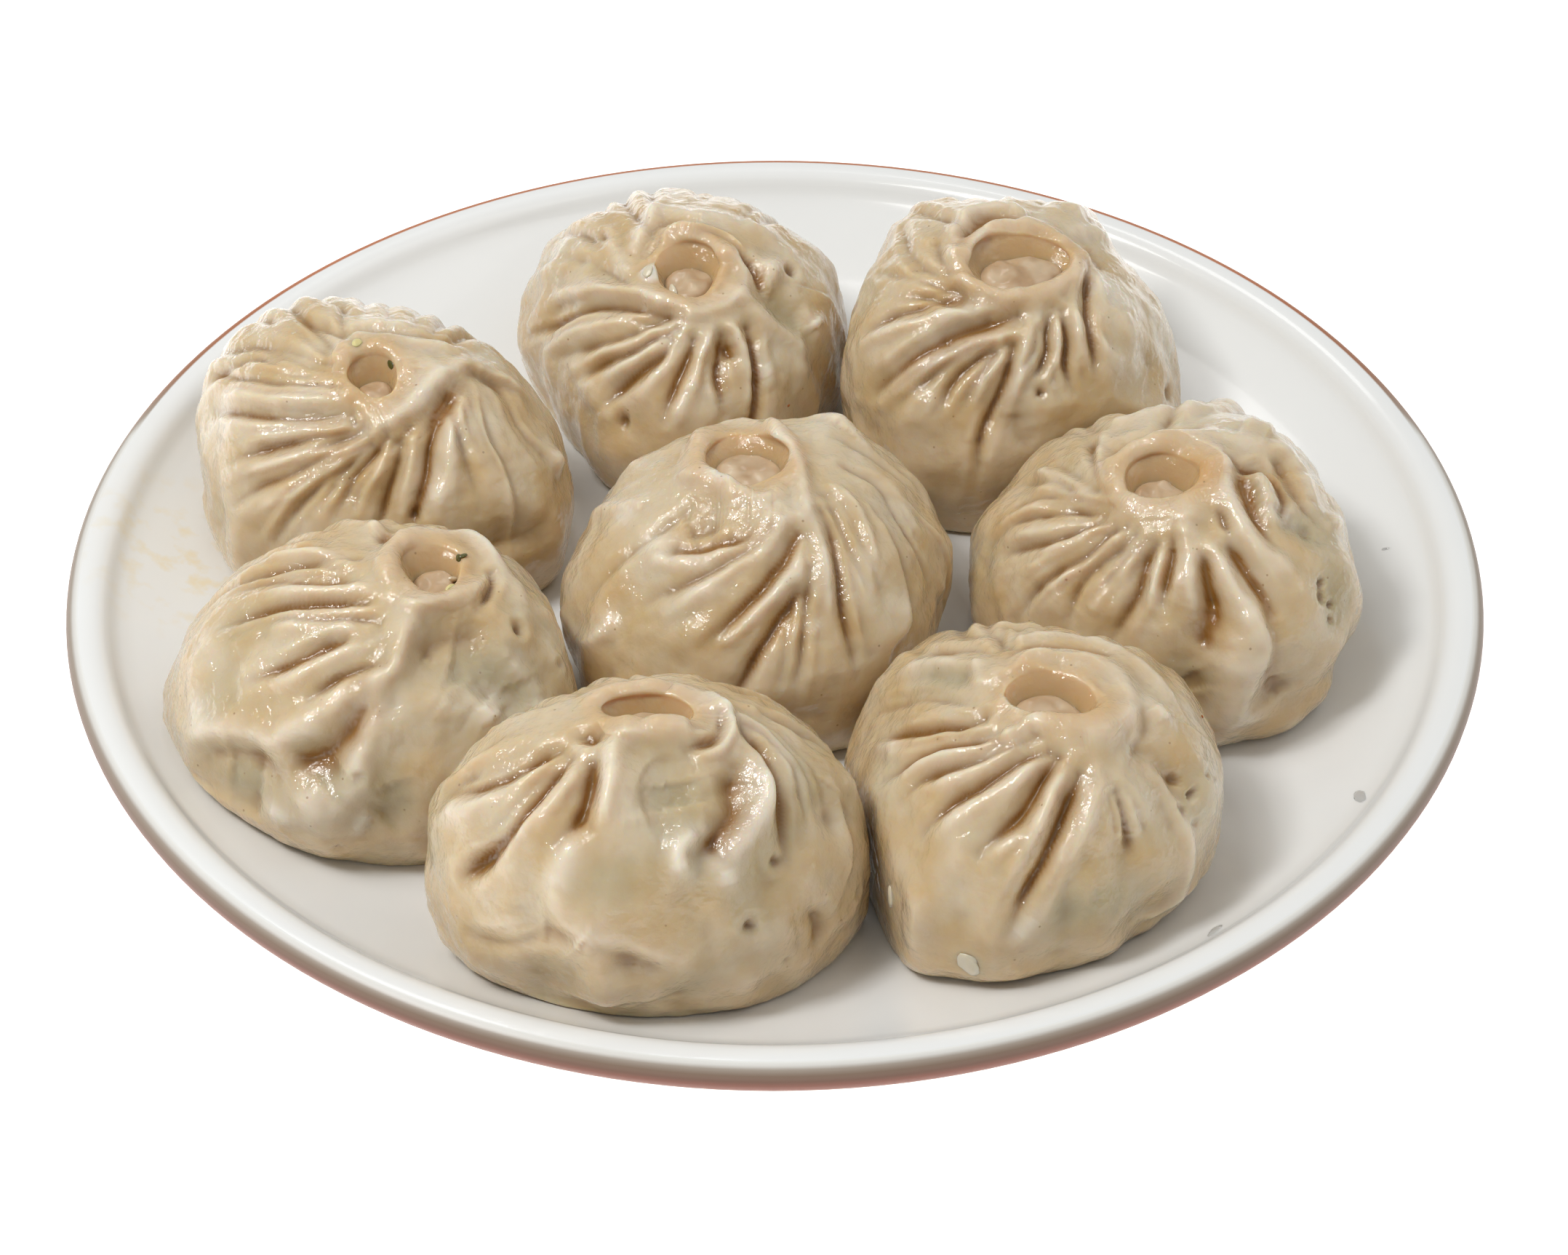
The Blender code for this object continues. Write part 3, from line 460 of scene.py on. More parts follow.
            ("v", 1.6, 1.3, ((-1.5, -19.9, 32.6), (-2.6, -23.1, 29.4), (-4.2, -25.7, 25.9),
                (-5.9, -27.5, 22.7), (-6.9, -28.5, 20), (-7.2, -29.5, 15.7))),
            ("v", 1.4, 1.1, ((5, -14.5, 35.8), (4, -17.4, 33.6), (3.9, -19.8, 31.5), (2.9, -21.8, 29.7),
                (1.6, -23.2, 28.4))),
            ("v", 1.6, 1.1, ((6.4, -14.6, 35.3), (7.1, -18, 32), (7, -20.7, 29.5), (7.6, -22.1, 27.4))),
            ("r", 0.8, 1.2, ((5.5, -15.1, 35.3), (5.7, -18.5, 32.1), (4.7, -21.8, 29))),
            ("r", 0.9, 1.3, ((8.3, -13.2, 35.3), (8.9, -16.7, 32.3), (9.6, -19.8, 29.1))),
            ("v", 1.9, 1.5, ((10.5, -4, 36.6), (11, -8.9, 35.3), (10.9, -14, 33.3), (11.7, -17.9, 29.7))),
            ("v", 1.6, 1.2, ((2.7, -24.1, 26.7), (3.1, -24.7, 25.7))),
            ("v", 1.2, 1.3, ((25.7, -11.6, 18), (24.8, -14.2, 17.5))),
            ("v", 1.6, 3.5, ((-1.1, -26.1, 24.5), (-.6, -27.8, 20.4), (2.5, -28.5, 16.3))),
            ("v", 1.4, 3, ((11.8, 3.9, 35.8), (13.5, .8, 35.3), (15.6, -1.3, 33.8))),
            ("r", 0.8, 1.5, ((9.7, 6.4, 36.6), (15.3, 10.2, 31.9))),
            ("r", 0.5, 1.2, ((10.9, -15.2, 32.4), (13.5, -16.7, 29.5), (16.7, -16.8, 26.8))),
            ("w", 0.3, 2.5, ((11.5, -5.5, 35.9), (18.8, -6.1, 30.4))),
            ("r", 2.4, 5, ((8.1, 11.4, 36.1), (14.5, 19.4, 27))),
            ("r", 0.8, 2, ((15.9, -9.9, 31.9), (18.5, -12.7, 28.1))),
            ("r", 0.8, 3, ((-22.9, -18.3, 27.9), (-17.2, -19.7, 31.4), (-12.7, -19.1, 33.6))),
        ),
    },
    "centre": {
        "place": (-3.2, -11.9), "half": (29.7, 30.2), "height": 34.4, "dome": 2.1, "square": 2.06,
        "lobe": (0, 0.01), "skew": 0.033, "lean": (2.2, 1.4), "hole": (-3.3, 2.5, 6.7, 7.5),
        "turn": -24, "pinch": (-53, 12), "fillTop": 2.2, "seed": 14, "back": (200, 201), "sheer": 0.2,
        "folds": (
            ("r", 1.1, 1.9, ((-8.4, 5.2, 32.8), (-8.1, 10.1, 32.6), (-5.7, 14.6, 31.1), (-1.9, 15.7, 31.3),
                (2, 12.4, 33), (4.9, 7.9, 34.4))),
            ("r", 1.1, 1.4, ((2.8, 11.8, 33.2), (5.7, 5.1, 34.7), (6.9, .1, 34.3), (7.6, -5.7, 33.4),
                (7.1, -10.9, 32.1))),
            ("r", 0.9, 1.4, ((-7.7, .9, 33.2), (-5.8, -2.1, 33.5), (-3.4, -3.3, 33.8), (-.1, -6, 34.1),
                (2.9, -5.4, 34.1), (5, -2.7, 34.5))),
            ("r", 0.9, 1.2, ((-10.3, .6, 33.1), (-7, -.9, 33.3), (-4.1, -3.4, 33.7), (-3, -6.8, 33.8))),
            ("r", 0.8, 3, ((-.6, -7.8, 33.5), (2.9, -7.9, 33.4))),
            ("v", 2.6, 4.6, ((-10.3, -10.3, 30.8), (-7.2, -9.6, 31.9), (-3.8, -10, 32.5))),
            ("v", 2.4, 1.6, ((-11.6, -12.8, 29.5), (-7.8, -13.6, 30.4), (-4.7, -13.3, 31.2),
                (-1.6, -12.9, 31.8), (.2, -11.9, 32.2))),
            ("r", 1.4, 1.6, ((-14.2, -13.3, 28.1), (-10.6, -14.1, 29.3), (-7.5, -14.3, 30.2),
                (-3.5, -14.1, 31.1), (.1, -12.9, 31.9), (2.7, -10.1, 32.8), (4.3, -7.9, 33.3))),
            ("r", 0.9, 1.2, ((5.7, -8.9, 32.9), (3.1, -12.5, 32), (.5, -15.3, 30.9), (-3, -17.4, 29.5),
                (-5.9, -19.1, 28), (-9.7, -20.3, 26), (-12.8, -20.7, 24.2))),
            ("v", 0.9, 1.4, ((2.9, -11.6, 32.3), (-.6, -14.4, 31.2), (-4.8, -16.7, 29.7),
                (-9.1, -17.9, 27.9), (-13.6, -18, 25.8))),
            ("v", 2.6, 1.3, ((6.7, -11.7, 31.9), (5.1, -15.4, 30.5), (3.2, -17.7, 29.5), (1.2, -20.1, 28),
                (-.9, -21.8, 26.7), (-2.9, -23.2, 25.2), (-5.5, -24.6, 23.4))),
            ("r", 0.8, 1.2, ((7.1, -13.1, 31.3), (5.9, -17, 29.5), (3.7, -20.2, 27.7), (1, -22.1, 26.4),
                (-1.3, -23.7, 24.9), (-3.5, -25.3, 23))),
            ("v", 3.2, 1.7, ((6.8, -19.8, 27.5), (5.7, -21.3, 26.5), (4.1, -23.2, 25.1), (2.3, -25.2, 23.1),
                (.6, -26.8, 21.1), (-.3, -27.9, 19.4), (-1.9, -29.1, 16.8))),
            ("v", 1, 1, ((8.4, -16.4, 29.3), (8.3, -20, 26.9), (7.7, -23.2, 24), (7.4, -25.5, 21.2),
                (6.8, -27.6, 17.7))),
            ("v", 1.7, 1.1, ((10.3, -7.2, 32.5), (12, -11.2, 30.7), (12.9, -16, 27.9), (13.4, -19.6, 24.8),
                (14.2, -22.2, 21.3), (14.9, -23.8, 17.8))),
            ("v", 0.8, 1, ((10.9, -3.9, 33), (13.3, -8.6, 31.1), (15.1, -12.4, 28.8), (16.4, -15.4, 26.3))),
            ("r", 0.7, 1, ((12.3, -2.1, 32.8), (15.5, -5, 31.2), (17.4, -9.3, 28.8), (17.6, -13.5, 26.6))),
            ("s", 1.4, 4, ((20, -20.9, 13.2), (20.4, -19.6, 16.4), (22.4, -16.5, 17.8), (23, -13.4, 20.9),
                (22.2, -10.2, 24.5), (20.6, -6.7, 27.6), (17.9, -3.7, 30.2))),
            ("v", 0.9, 1.2, ((13.7, 3.4, 32.6), (18.7, 2, 30.4), (22.1, -2.2, 27.6), (24.7, -5, 24.1),
                (26.8, -6.9, 19.6))),
            ("v", 0.6, 1.2, ((12.5, 9.8, 32.3), (17.9, 8.7, 30.3), (22.8, 7.2, 27.2))),
            ("r", 0.6, 1.2, ((28.8, -3.7, 16), (29.4, -1.8, 7.8), (28.1, -6.3, 5.3))),
            ("r", 2.4, 5, ((11.4, 13.6, 31.5), (13.1, 16.1, 29.9))),
            ("r", 0.8, 1.3, ((-28.7, -7.7, 12.9), (-27.2, -12.7, 12.9), (-24.6, -16.6, 15.1),
                (-21.9, -17.9, 18.5), (-21.9, -16.7, 19.7))),
            ("r", 0.7, 1.3, ((-24.1, 4.6, 22.8), (-20.7, .6, 26.7), (-17.3, -.8, 29.1))),
            ("w", 0.4, 3, ((-14.7, -8.1, 29.6), (-14.7, -11.5, 28.5))),
            ("w", 0.3, 2.5, ((-20.3, -3, 26.8), (-18.3, -1.4, 28.4))),
            ("r", 0.6, 1.6, ((9.8, -7, 32.7), (10.3, -11.6, 31.1), (10.8, -17, 28.2), (11.4, -21.6, 24.1))),
            ("w", 0.3, 1.5, ((9.3, -23, 23.6), (9.8, -23.1, 23.3))),
            ("r", 0.8, 2.5, ((-19.5, 10.1, 25.9), (-15.3, 11, 28.6), (-9.4, 11, 31.5))),
        ),
    },
    "right": {
        "place": (60.9, -6.3), "half": (28.5, 30.7), "height": 35.6, "dome": 2, "square": 2.16,
        "lobe": (-0.06, -0.02), "skew": -0.045, "lean": (4.6, -3.3), "hole": (-7.3, -3.4, 5.8, 4.8),
        "turn": -13, "pinch": (-53, 8.5), "fillTop": 3, "seed": 15, "back": (38, 132), "sheer": 0.5,
        "pits": ((22.6, -21.3, 24.2), 5),
        "folds": (
            ("r", 1.2, 2, ((-9.8, -1.9, 32.8), (-6.3, -.1, 33.9), (-1.9, .7, 35.2), (2.5, .1, 35.4),
                (5.5, -3.5, 35.6), (6.7, -7.9, 35.3), (6.3, -11.5, 34.7))),
            ("y", 0.2, 3.5, ((3.6, -5.2, 35.5), (4.9, -10.1, 35))),
            ("r", 0.9, 2.4, ((-9.3, -9.2, 32.6), (-5.6, -12.1, 32.7), (-1.8, -13.7, 33), (1.4, -13.4, 33.7),
                (3.7, -12.8, 34.2))),
            ("r", 0.7, 1.3, ((-9.7, 8.1, 31.1), (-11.7, 2.5, 32.2), (-11.4, -1.8, 32.1), (-9, -7.1, 32.8))),
            ("v", 1.6, 1.9, ((-9.5, 0, 32.8), (-7.3, 2.2, 33.9), (-3.8, 2.8, 34.5), (-.1, 3.5, 34.7))),
            ("r", 1, 2, ((-9.1, 10.8, 30.3), (-5.1, 10.9, 31.6), (.6, 12.3, 32.2), (6.2, 11.3, 32.9))),
            ("r", 0.9, 1.8, ((1.1, 2.4, 35), (5.2, 1.6, 35.3), (9.5, 0, 35), (13.7, -.2, 33.8),
                (17.8, 1.7, 31.5))),
            ("v", 2.2, 1.7, ((7.8, -4.7, 35.4), (9.7, -5.9, 35.1), (11.9, -5.4, 34.7), (13.7, -6.8, 34.1),
                (14.7, -10.3, 33.6), (14.7, -13.2, 33.1))),
            ("t", -1.5, 3, ((10.3, -8.1, 34.9), (12.5, -9.9, 34.3), (13.3, -13.6, 33.3))),
            ("v", 1.8, 1.5, ((8, -7.3, 35.3), (9.3, -10.8, 34.7), (9.8, -14.2, 33.8), (11.2, -17.2, 32.6))),
            ("r", 1.2, 2.2, ((5.6, -11.4, 34.7), (7.6, -15.2, 33.7), (9.4, -18.8, 32.1),
                (12.5, -21.5, 30.2), (15.3, -23.7, 27.7))),
            ("v", 1.3, 1.6, ((15.2, -2.6, 33.4), (16.7, -6.3, 32.9), (17.8, -9.9, 32.2), (19.1, -11.1, 31.3))),
            ("r", 0.9, 1.8, ((16.8, -.1, 32.4), (19.1, -2.9, 31.2), (19.2, -9.2, 31.4))),
            ("t", 1.2, 2.5, ((15, -13.8, 32.8), (17.3, -15, 31.5), (19.7, -15.3, 30))),
            ("r", 1.2, 1.6, ((22.9, -10.9, 28.2), (24.2, -8.1, 26.7))),
            ("v", 3.4, 1.6, ((6.2, -19.9, 31.5), (7.3, -21.5, 30.6), (8.5, -23.3, 29.2), (9.9, -25, 27.8),
                (10.9, -26.2, 26.5))),
            ("v", 1.4, 0.8, ((5.1, -14.9, 33.7), (6.2, -18.2, 32.3))),
            ("v", 3.4, 1.3, ((2.5, -21.3, 30), (2.8, -23.8, 28), (3.6, -26.3, 25.6))),
            ("v", 1.8, 2.6, ((3.2, -26.2, 25.5), (2.7, -28.3, 22.3), (2.1, -29.7, 18.9))),
            ("r", 1.1, 1.7, ((3.3, -19.6, 31.2), (5.7, -24.2, 28.3), (7.7, -26.7, 25.9), (9.7, -28.5, 23.6))),
            ("s", 1.8, 4, ((10.1, -31.3, 15.2), (11.4, -30.4, 19.2), (11.7, -29.3, 21.8),
                (10.7, -27.8, 24.5), (9.7, -24.7, 28.1))),
            ("r", 1.6, 3.6, ((7, -29.6, 21.3), (7.4, -31.4, 13.8), (8, -31, 6.3))),
            ("v", 2.2, 4, ((12.7, -30.9, 15.8), (13.9, -30.6, 11.2))),
            ("t", 1.6, 4, ((.2, -30, 15.2), (2.3, -30.7, 12.8))),
            ("v", 1, 0.9, ((-12.3, 7.3, 30.2), (-12.3, -.5, 32), (-12.2, -3.6, 31.8))),
            ("v", 0.8, 1.1, ((-17.5, 5.1, 27.9), (-15.3, -.9, 30.7), (-13, -5.4, 31.8))),
            ("v", 0.9, 1.3, ((-23.7, .7, 23.3), (-19.2, -2.4, 27.5), (-15.3, -6, 30.1), (-11.3, -9.7, 31.6))),
            ("v", 1.2, 1.3, ((-11.5, -10.8, 30.9), (-15.7, -8.1, 29.2), (-20.6, -5.3, 26),
                (-24.1, -3.3, 22.7), (-26.3, -2.6, 19.9))),
            ("v", 1.3, 1.3, ((-10.4, -12.7, 30.5), (-13.9, -11.7, 29.1), (-17.1, -11.6, 27),
                (-19.7, -10.8, 25.1), (-24.1, -8.1, 21.4))),
            ("r", 0.8, 1.1, ((-10.5, -13, 30.3), (-13.7, -12.5, 28.9), (-16.8, -12.6, 26.7),
                (-19.8, -11.8, 24.4))),
            ("v", 1.4, 1.3, ((-8.6, -14.3, 30.6), (-11.2, -14.4, 29.3), (-14.7, -15.6, 26.3),
                (-18.7, -15.5, 22.8), (-21.8, -15.3, 18.8), (-23.3, -15.4, 15.6))),
            ("r", 0.8, 1.1, ((-8.4, -14.8, 30.4), (-11.7, -15.8, 28.2), (-15.3, -16.7, 24.9),
                (-18.7, -16.7, 21.5))),
            ("v", 1.2, 1.2, ((-7.3, -15.8, 30.3), (-10, -16.8, 28.5), (-12.9, -17.5, 26.1),
                (-15.6, -18.5, 22.8), (-16.7, -20.1, 19.2))),
            ("v", 1, 1, ((-5.7, -16.9, 30.3), (-8.3, -18.2, 28.3), (-10.7, -19.4, 25.9),
                (-12.9, -20.3, 23.2))),
            ("r", 0.7, 1.1, ((-6.4, -16.9, 30), (-9, -18.6, 27.6), (-11.7, -19.8, 24.8), (-13.6, -21, 21.6))),
            ("v", 1.7, 1.4, ((-4.2, -17.8, 30.3), (-5.6, -19.1, 28.8), (-6.6, -21.1, 26.7),
                (-7.3, -22.6, 24.7), (-8.7, -23.7, 22.1), (-10.1, -24.4, 19.3))),
            ("v", 1.9, 1.1, ((-1.9, -17.9, 31), (-2.1, -20.3, 29.3), (-2.8, -22.3, 27.4), (-3.3, -23.5, 26))),
            ("r", 0.8, 1.2, ((-3.5, -18.6, 30), (-4.7, -21.3, 27.5), (-4.9, -24.2, 24.3))),
            ("r", 1, 1.4, ((.1, -15.3, 32.8), (-.5, -18.1, 31.3), (-1.1, -21.5, 28.8), (-1.6, -24.3, 25.9))),
            ("r", 0.9, 1.8, ((1.3, -18, 31.7), (.8, -22.6, 28.6), (.7, -26.3, 24.6))),
            ("r", 0.7, 1.3, ((-20.6, 8.3, 24.4), (-17.8, .5, 28.4), (-13.3, -7.1, 31.4))),
            ("v", 0.7, 1.1, ((-23.1, 8.6, 21.8), (-19.2, 1.5, 27.3), (-14.2, -5.3, 31.2))),
            ("w", 0.4, 2, ((14.6, -13.4, 33), (16, -14.1, 32.3))),
            ("r", 1.8, 4.5, ((10.5, 5.5, 34.1), (14.7, 3.5, 33))),
        ),
    },
    "front_right": {
        "place": (35.9, -58.6), "half": (26.2, 29.5), "height": 36.2, "dome": 2, "square": 2.2,
        "lobe": (0.06, 0.011), "skew": 0, "lean": (3.6, -2.3), "hole": (-1.7, -2.1, 6.6, 4.5),
        "turn": -26, "pinch": (-65, 11), "fillTop": 2.4, "seed": 16, "back": (52, 128), "sheer": 0.25,
        "pits": ((22.3, -11.9, 24.5), 5),
        "folds": (
            ("r", 1.1, 2, ((-5, .9, 34.7), (-3.4, 3, 35.5), (.1, 4.4, 35.8), (4.7, 3.9, 35.7),
                (8.4, 2.1, 35.5), (11.1, -.1, 35.2), (12.1, -4.1, 34.8), (12, -7.5, 34.4))),
            ("r", 1, 1.8, ((-4, -4.9, 35), (-1.5, -8.7, 36.1), (1.3, -10.2, 35.5), (5.1, -10.4, 35.2),
                (8.3, -9.7, 34.8), (10.8, -7.5, 34.7))),
            ("r", 1, 2.2, ((4.9, -12.7, 34.4), (8.1, -11.8, 34.2), (11, -9.1, 34.3), (13.1, -4.8, 34.4))),
            ("v", 1.1, 1.3, ((-4.2, 3.1, 35.5), (-1.3, 5.9, 35.2), (2.7, 6.3, 35.1), (8.3, 5.8, 34.7))),
            ("r", 0.8, 1.6, ((-1.1, 9.5, 34.1), (3.7, 9.5, 34.1), (9.4, 9.1, 33.3), (13.6, 5.2, 33.4),
                (17.5, 1.5, 32.3), (20.5, -2.2, 30.3))),
            ("t", 0.7, 2.6, ((-14.8, 7.5, 28.7), (-11.9, 4.3, 31.1), (-8.6, 1.8, 33.8))),
            ("r", 0.8, 1.6, ((-17.6, 13.5, 24.4), (-12.9, 8.6, 29.9), (-7.9, 4, 34))),
            ("r", 0.9, 1.3, ((-7.5, 5.4, 33.7), (-7.7, 1.5, 34.1), (-7.4, -1, 33.7))),
            ("v", 0.8, 1.2, ((-8.9, -3.6, 33.6), (-13.5, 1.3, 30), (-18.9, 6.8, 24.5), (-21.5, 9.5, 20.2))),
            ("v", 2, 1.3, ((-7.5, -6.3, 33.8), (-10, -6.2, 32.3), (-13.4, -4.3, 29.9), (-16, -2.8, 27.7),
                (-19.5, .7, 23.6))),
            ("v", 2, 1.3, ((-5.7, -11.3, 33.7), (-9.6, -10.1, 32.2), (-12.7, -8.5, 30.3),
                (-15.7, -7.9, 27.7), (-18.4, -7.4, 24.7))),
            ("r", 1, 1.3, ((-.7, -10.3, 35.3), (-4.6, -11.4, 34.1), (-9.6, -11.2, 32), (-13.4, -10.4, 29.5),
                (-17.4, -9.1, 25.8))),
            ("v", 1.2, 1.2, ((-.4, -11.7, 34.8), (-3.8, -12.8, 33.9), (-8, -13.5, 32.2),
                (-12.4, -12.7, 29.8), (-15.7, -11.9, 27.2), (-17.5, -12.2, 25.2))),
            ("r", 0.8, 1.1, ((-1.7, -11.9, 34.6), (-5.7, -13.9, 33), (-10.5, -14.5, 30.6),
                (-14.8, -14, 27.5))),
            ("v", 1.6, 1.4, ((1, -14, 34.2), (-2.8, -15, 33.4), (-5.7, -16.1, 32.2), (-8.6, -17.1, 30.6),
                (-11.6, -17.5, 28.7), (-14.3, -18.3, 26.2))),
            ("r", 1, 1.8, ((1.1, -15, 33.8), (-2.9, -16.9, 32.6), (-6.8, -18.7, 30.6), (-10.6, -19.9, 28.1),
                (-13.6, -20.4, 25.5))),
            ("v", 2.8, 1.7, ((2.4, -14.8, 33.8), (.6, -16.9, 32.9), (-.8, -19.1, 31.7), (-2.7, -21.4, 30),
                (-4.6, -22.7, 28.6), (-6.7, -23.7, 27.1))),
            ("r", 0.9, 1.2, ((3.5, -16.4, 33), (1.3, -18.8, 31.9), (.8, -20.9, 30.5), (-1.3, -23.9, 28))),
            ("r", 0.6, 0.9, ((-6.5, -24.8, 26.1), (-3.6, -23.6, 28))),
            ("v", 3.8, 2, ((5.2, -16.8, 32.6), (4.3, -19.1, 31.3), (2.9, -21.7, 29.6), (1.6, -24, 27.6),
                (.3, -26, 25.4), (-1.4, -27.7, 22.9), (-2.7, -28.9, 20.6), (-3.6, -29.7, 18.1))),
            ("r", 0.9, 1.6, ((6.6, -17, 32.2), (5.8, -20.4, 30.1), (4.2, -23.5, 27.6), (2.1, -26.3, 24.7))),
            ("v", 1.2, 1, ((10.3, -17.8, 30.4), (11.4, -19.7, 28.3), (12.5, -21.3, 25.7))),
            ("d", 0.8, 2.4, ((12.2, -21.5, 25.7), (12.2, -23.6, 22.1))),
            ("r", 0.8, 1.3, ((16, -12.5, 30.6), (18.6, -15.2, 26.4), (20.6, -16.9, 20.8),
                (20.3, -18.4, 15.3), (18.5, -19.7, 8.2), (15.1, -22.9, 10))),
            ("d", 1.8, 3.4, ((12.3, -10.9, 33.3), (16.1, -11.7, 30.9), (19.1, -12.8, 27.8))),
            ("t", 0.6, 3.5, ((6.5, -27.4, 19.3), (11.5, -25.5, 16.9))),
            ("t", 0.5, 3, ((4, -28.7, 17.7),)),
            ("r", 1.2, 1.8, ((16, -4.1, 33.2), (17.5, -5.8, 32.1))),
            ("w", 0.3, 1.6, ((-3.1, -30.2, 15.6), (-.8, -29.5, 18.1))),
            ("v", 0.8, 1.3, ((-13.7, 14, 27.7), (-9.6, 10.7, 31.3), (-7.3, 8.5, 32.9))),
            ("v", 0.7, 1.2, ((-4.3, 6.5, 34.5), (-2.7, 14.8, 31.7), (-.2, 12.9, 32.8))),
            ("r", 0.6, 1.6, ((-21, 1.7, 21.4), (-18.9, -3.1, 24.3), (-18.1, -3.1, 25.4))),
        ),
    },
    "front_middle": {
        "place": (-16.2, -72), "half": (30.3, 25), "height": 39.2, "dome": 2.35, "square": 1.95,
        "lobe": (-0.015, 0), "skew": 0.08, "lean": (-4, -1.2), "hole": (3.4, 4, 6.3, 3.5),
        "turn": 0, "pinch": (-14, 11), "fillTop": 2.1, "seed": 17, "back": (14, 186), "sheer": 0.55,
        "folds": (
            ("r", 0.8, 2.4, ((-7.1, 5.4, 38.3), (-4.8, 6.9, 38.4), (0, 7.6, 38.7), (4, 7.5, 37.9),
                (6.7, 6, 37.4), (8.9, 3.1, 37.2), (9.4, -.2, 37.5))),
            ("r", 1.5, 2, ((-4.6, -3.5, 39.2), (-1.5, -2.6, 39.2), (2.3, -1.9, 39.3), (6, -1.3, 39))),
            ("r", 0.9, 1.2, ((7.9, 6.7, 37.2), (9.7, 2.9, 37.3), (10.3, -.2, 37), (9.4, -3.4, 36.9),
                (6.7, -5, 37.5))),
            ("v", 1.4, 1, ((8.9, 2.6, 37.3), (9.1, -.1, 37.7), (8.3, -2, 37.6), (6.3, -3.5, 38))),
            ("v", 1.4, 1.7, ((-9.2, -2.7, 39), (-6.3, -3.7, 39.1))),
            ("r", 1.7, 2, ((-4.2, -4.1, 39.1), (-5.1, -7, 38.8), (-5.4, -10.9, 37.7), (-5.9, -13.6, 36.4),
                (-5.2, -15.8, 34.9))),
            ("r", 1, 2.6, ((-2.7, -8, 38.5), (-3, -12.8, 36.8), (-2.2, -16, 34.5))),
            ("t", 1.4, 5, ((2.9, -9.1, 37.4), (4, -12.4, 35.5))),
            ("s", 0.35, 3.6, ((.7, -16.2, 33.8), (-1.2, -12.4, 36.7), (-.9, -8.9, 38.1), (1.1, -6.1, 38.5),
                (5.3, -5.1, 37.9), (8.6, -3.2, 37.2))),
            ("w", 1.3, 1.4, ((6.4, -14.5, 33.1), (4, -16.4, 32.5), (3.5, -17.6, 31.5), (4.5, -18.5, 29.9))),
            ("d", 2.3, 2.3, ((11.1, -5.4, 35.7), (11.1, -8.8, 34.4), (11.2, -11.4, 32.9), (10, -13.3, 32.1),
                (8.6, -15.2, 31.3))),
            ("w", 1.4, 1.7, ((13.5, -3.9, 34.8), (14.9, -6.7, 33), (14.2, -9.5, 32), (12.6, -12.2, 31.2),
                (10.6, -14.7, 30.4), (8.7, -16.5, 29.9))),
            ("w", 0.8, 1.5, ((9.6, -16.9, 28.6), (10.4, -17.9, 26.5))),
            ("v", 1.7, 1.2, ((11.9, 1.7, 36.4), (14.9, -.5, 34.5), (16.4, -3.7, 33), (17.2, -6.9, 31.1),
                (17.7, -9.8, 28.7), (18, -11.4, 26.8))),
            ("v", 0.8, 1, ((11.1, 3.4, 36.9), (15, 2.5, 34.5), (18.3, -.7, 32.1), (19.8, -4.3, 29.8),
                (20.5, -7.4, 27.4))),
            ("r", 0.7, 1, ((9.9, 3.9, 37.1), (14.3, 3.3, 34.9), (17.5, .6, 32.9), (19.3, -3.1, 30.8))),
            ("v", 0.7, 1, ((9.9, 6.3, 36.9), (15.8, 5.7, 33.5), (20.8, 1.7, 30), (23.3, -2, 26.6))),
            ("s", 1, 3.5, ((25.1, -9.8, 15.3), (26.5, -5.8, 18.3), (26.3, -2.6, 21.5), (24.7, .1, 25.3),
                (21.5, 3, 29.3))),
            ("v", 1.6, 1.4, ((-11.9, -4.4, 38.5), (-15.9, -5.6, 37.4), (-19.1, -6.5, 35.9),
                (-22.7, -6.6, 33.6), (-25.3, -5.6, 31.6))),
            ("v", 1.8, 1.6, ((-10.4, -6.4, 38.5), (-12.6, -9, 37.5), (-14.6, -11.4, 36.1),
                (-16.7, -13.3, 34.2), (-19.3, -14.7, 31.6), (-23.1, -14.8, 27.9))),
            ("v", 2.4, 1.8, ((-7.3, -8.3, 38.4), (-7.9, -11.5, 37.4), (-8.6, -13.7, 36.2),
                (-9.5, -15.2, 35.1), (-10.8, -16.1, 34.2))),
            ("r", 1.1, 1.6, ((-9.5, -6.5, 38.6), (-11.6, -10.5, 37.2), (-13.8, -13.1, 35.4),
                (-18.5, -14.9, 32))),
            ("w", 0.6, 2, ((-10.1, -16.7, 33.8), (-11.1, -19.1, 31), (-12.1, -20.4, 28.8))),
            ("d", 1.6, 2.5, ((-8.4, -23.8, 22.4), (-6, -24.2, 21.7), (-3.2, -24.6, 19.9), (0, -24.6, 18.1))),
            ("r", 1, 2.2, ((-8.7, -23.2, 24), (-4.9, -23.9, 22.7), (-.6, -24.2, 20.3), (3.4, -23.9, 18))),
            ("r", 1.6, 3, ((-10, -23.6, 22.5), (-8.8, -23.9, 21.8))),
            ("d", 1.4, 2.4, ((-14.3, -22.5, 22.6), (-11.5, -23.2, 22.5))),
            ("y", -0.5, 3.2, ((-14.8, -23.4, 15.5), (-13.9, -23.5, 10.8))),
            ("v", 1.3, 1, ((16.9, -13.3, 26.1),)),
            ("v", 1.5, 1.3, ((13, -19.3, 20.2), (13.2, -19.5, 19.2))),
            ("v", 1, 0.9, ((18.1, -17.5, 10.8),)),
            ("v", 1.2, 2, ((21.8, -13.4, 16.4), (22.8, -13.2, 13.3), (22.7, -13.4, 10.8))),
            ("v", 1, 0.9, ((27.7, -6.3, 12.8),)),
            ("r", 0.8, 3, ((19.9, -12.4, 22.8), (23.5, -11.5, 16.4))),
            ("v", 0.8, 1.6, ((-24.2, -17.9, 16.2), (-20.1, -20.8, 18.1), (-15.7, -22.5, 20.4))),
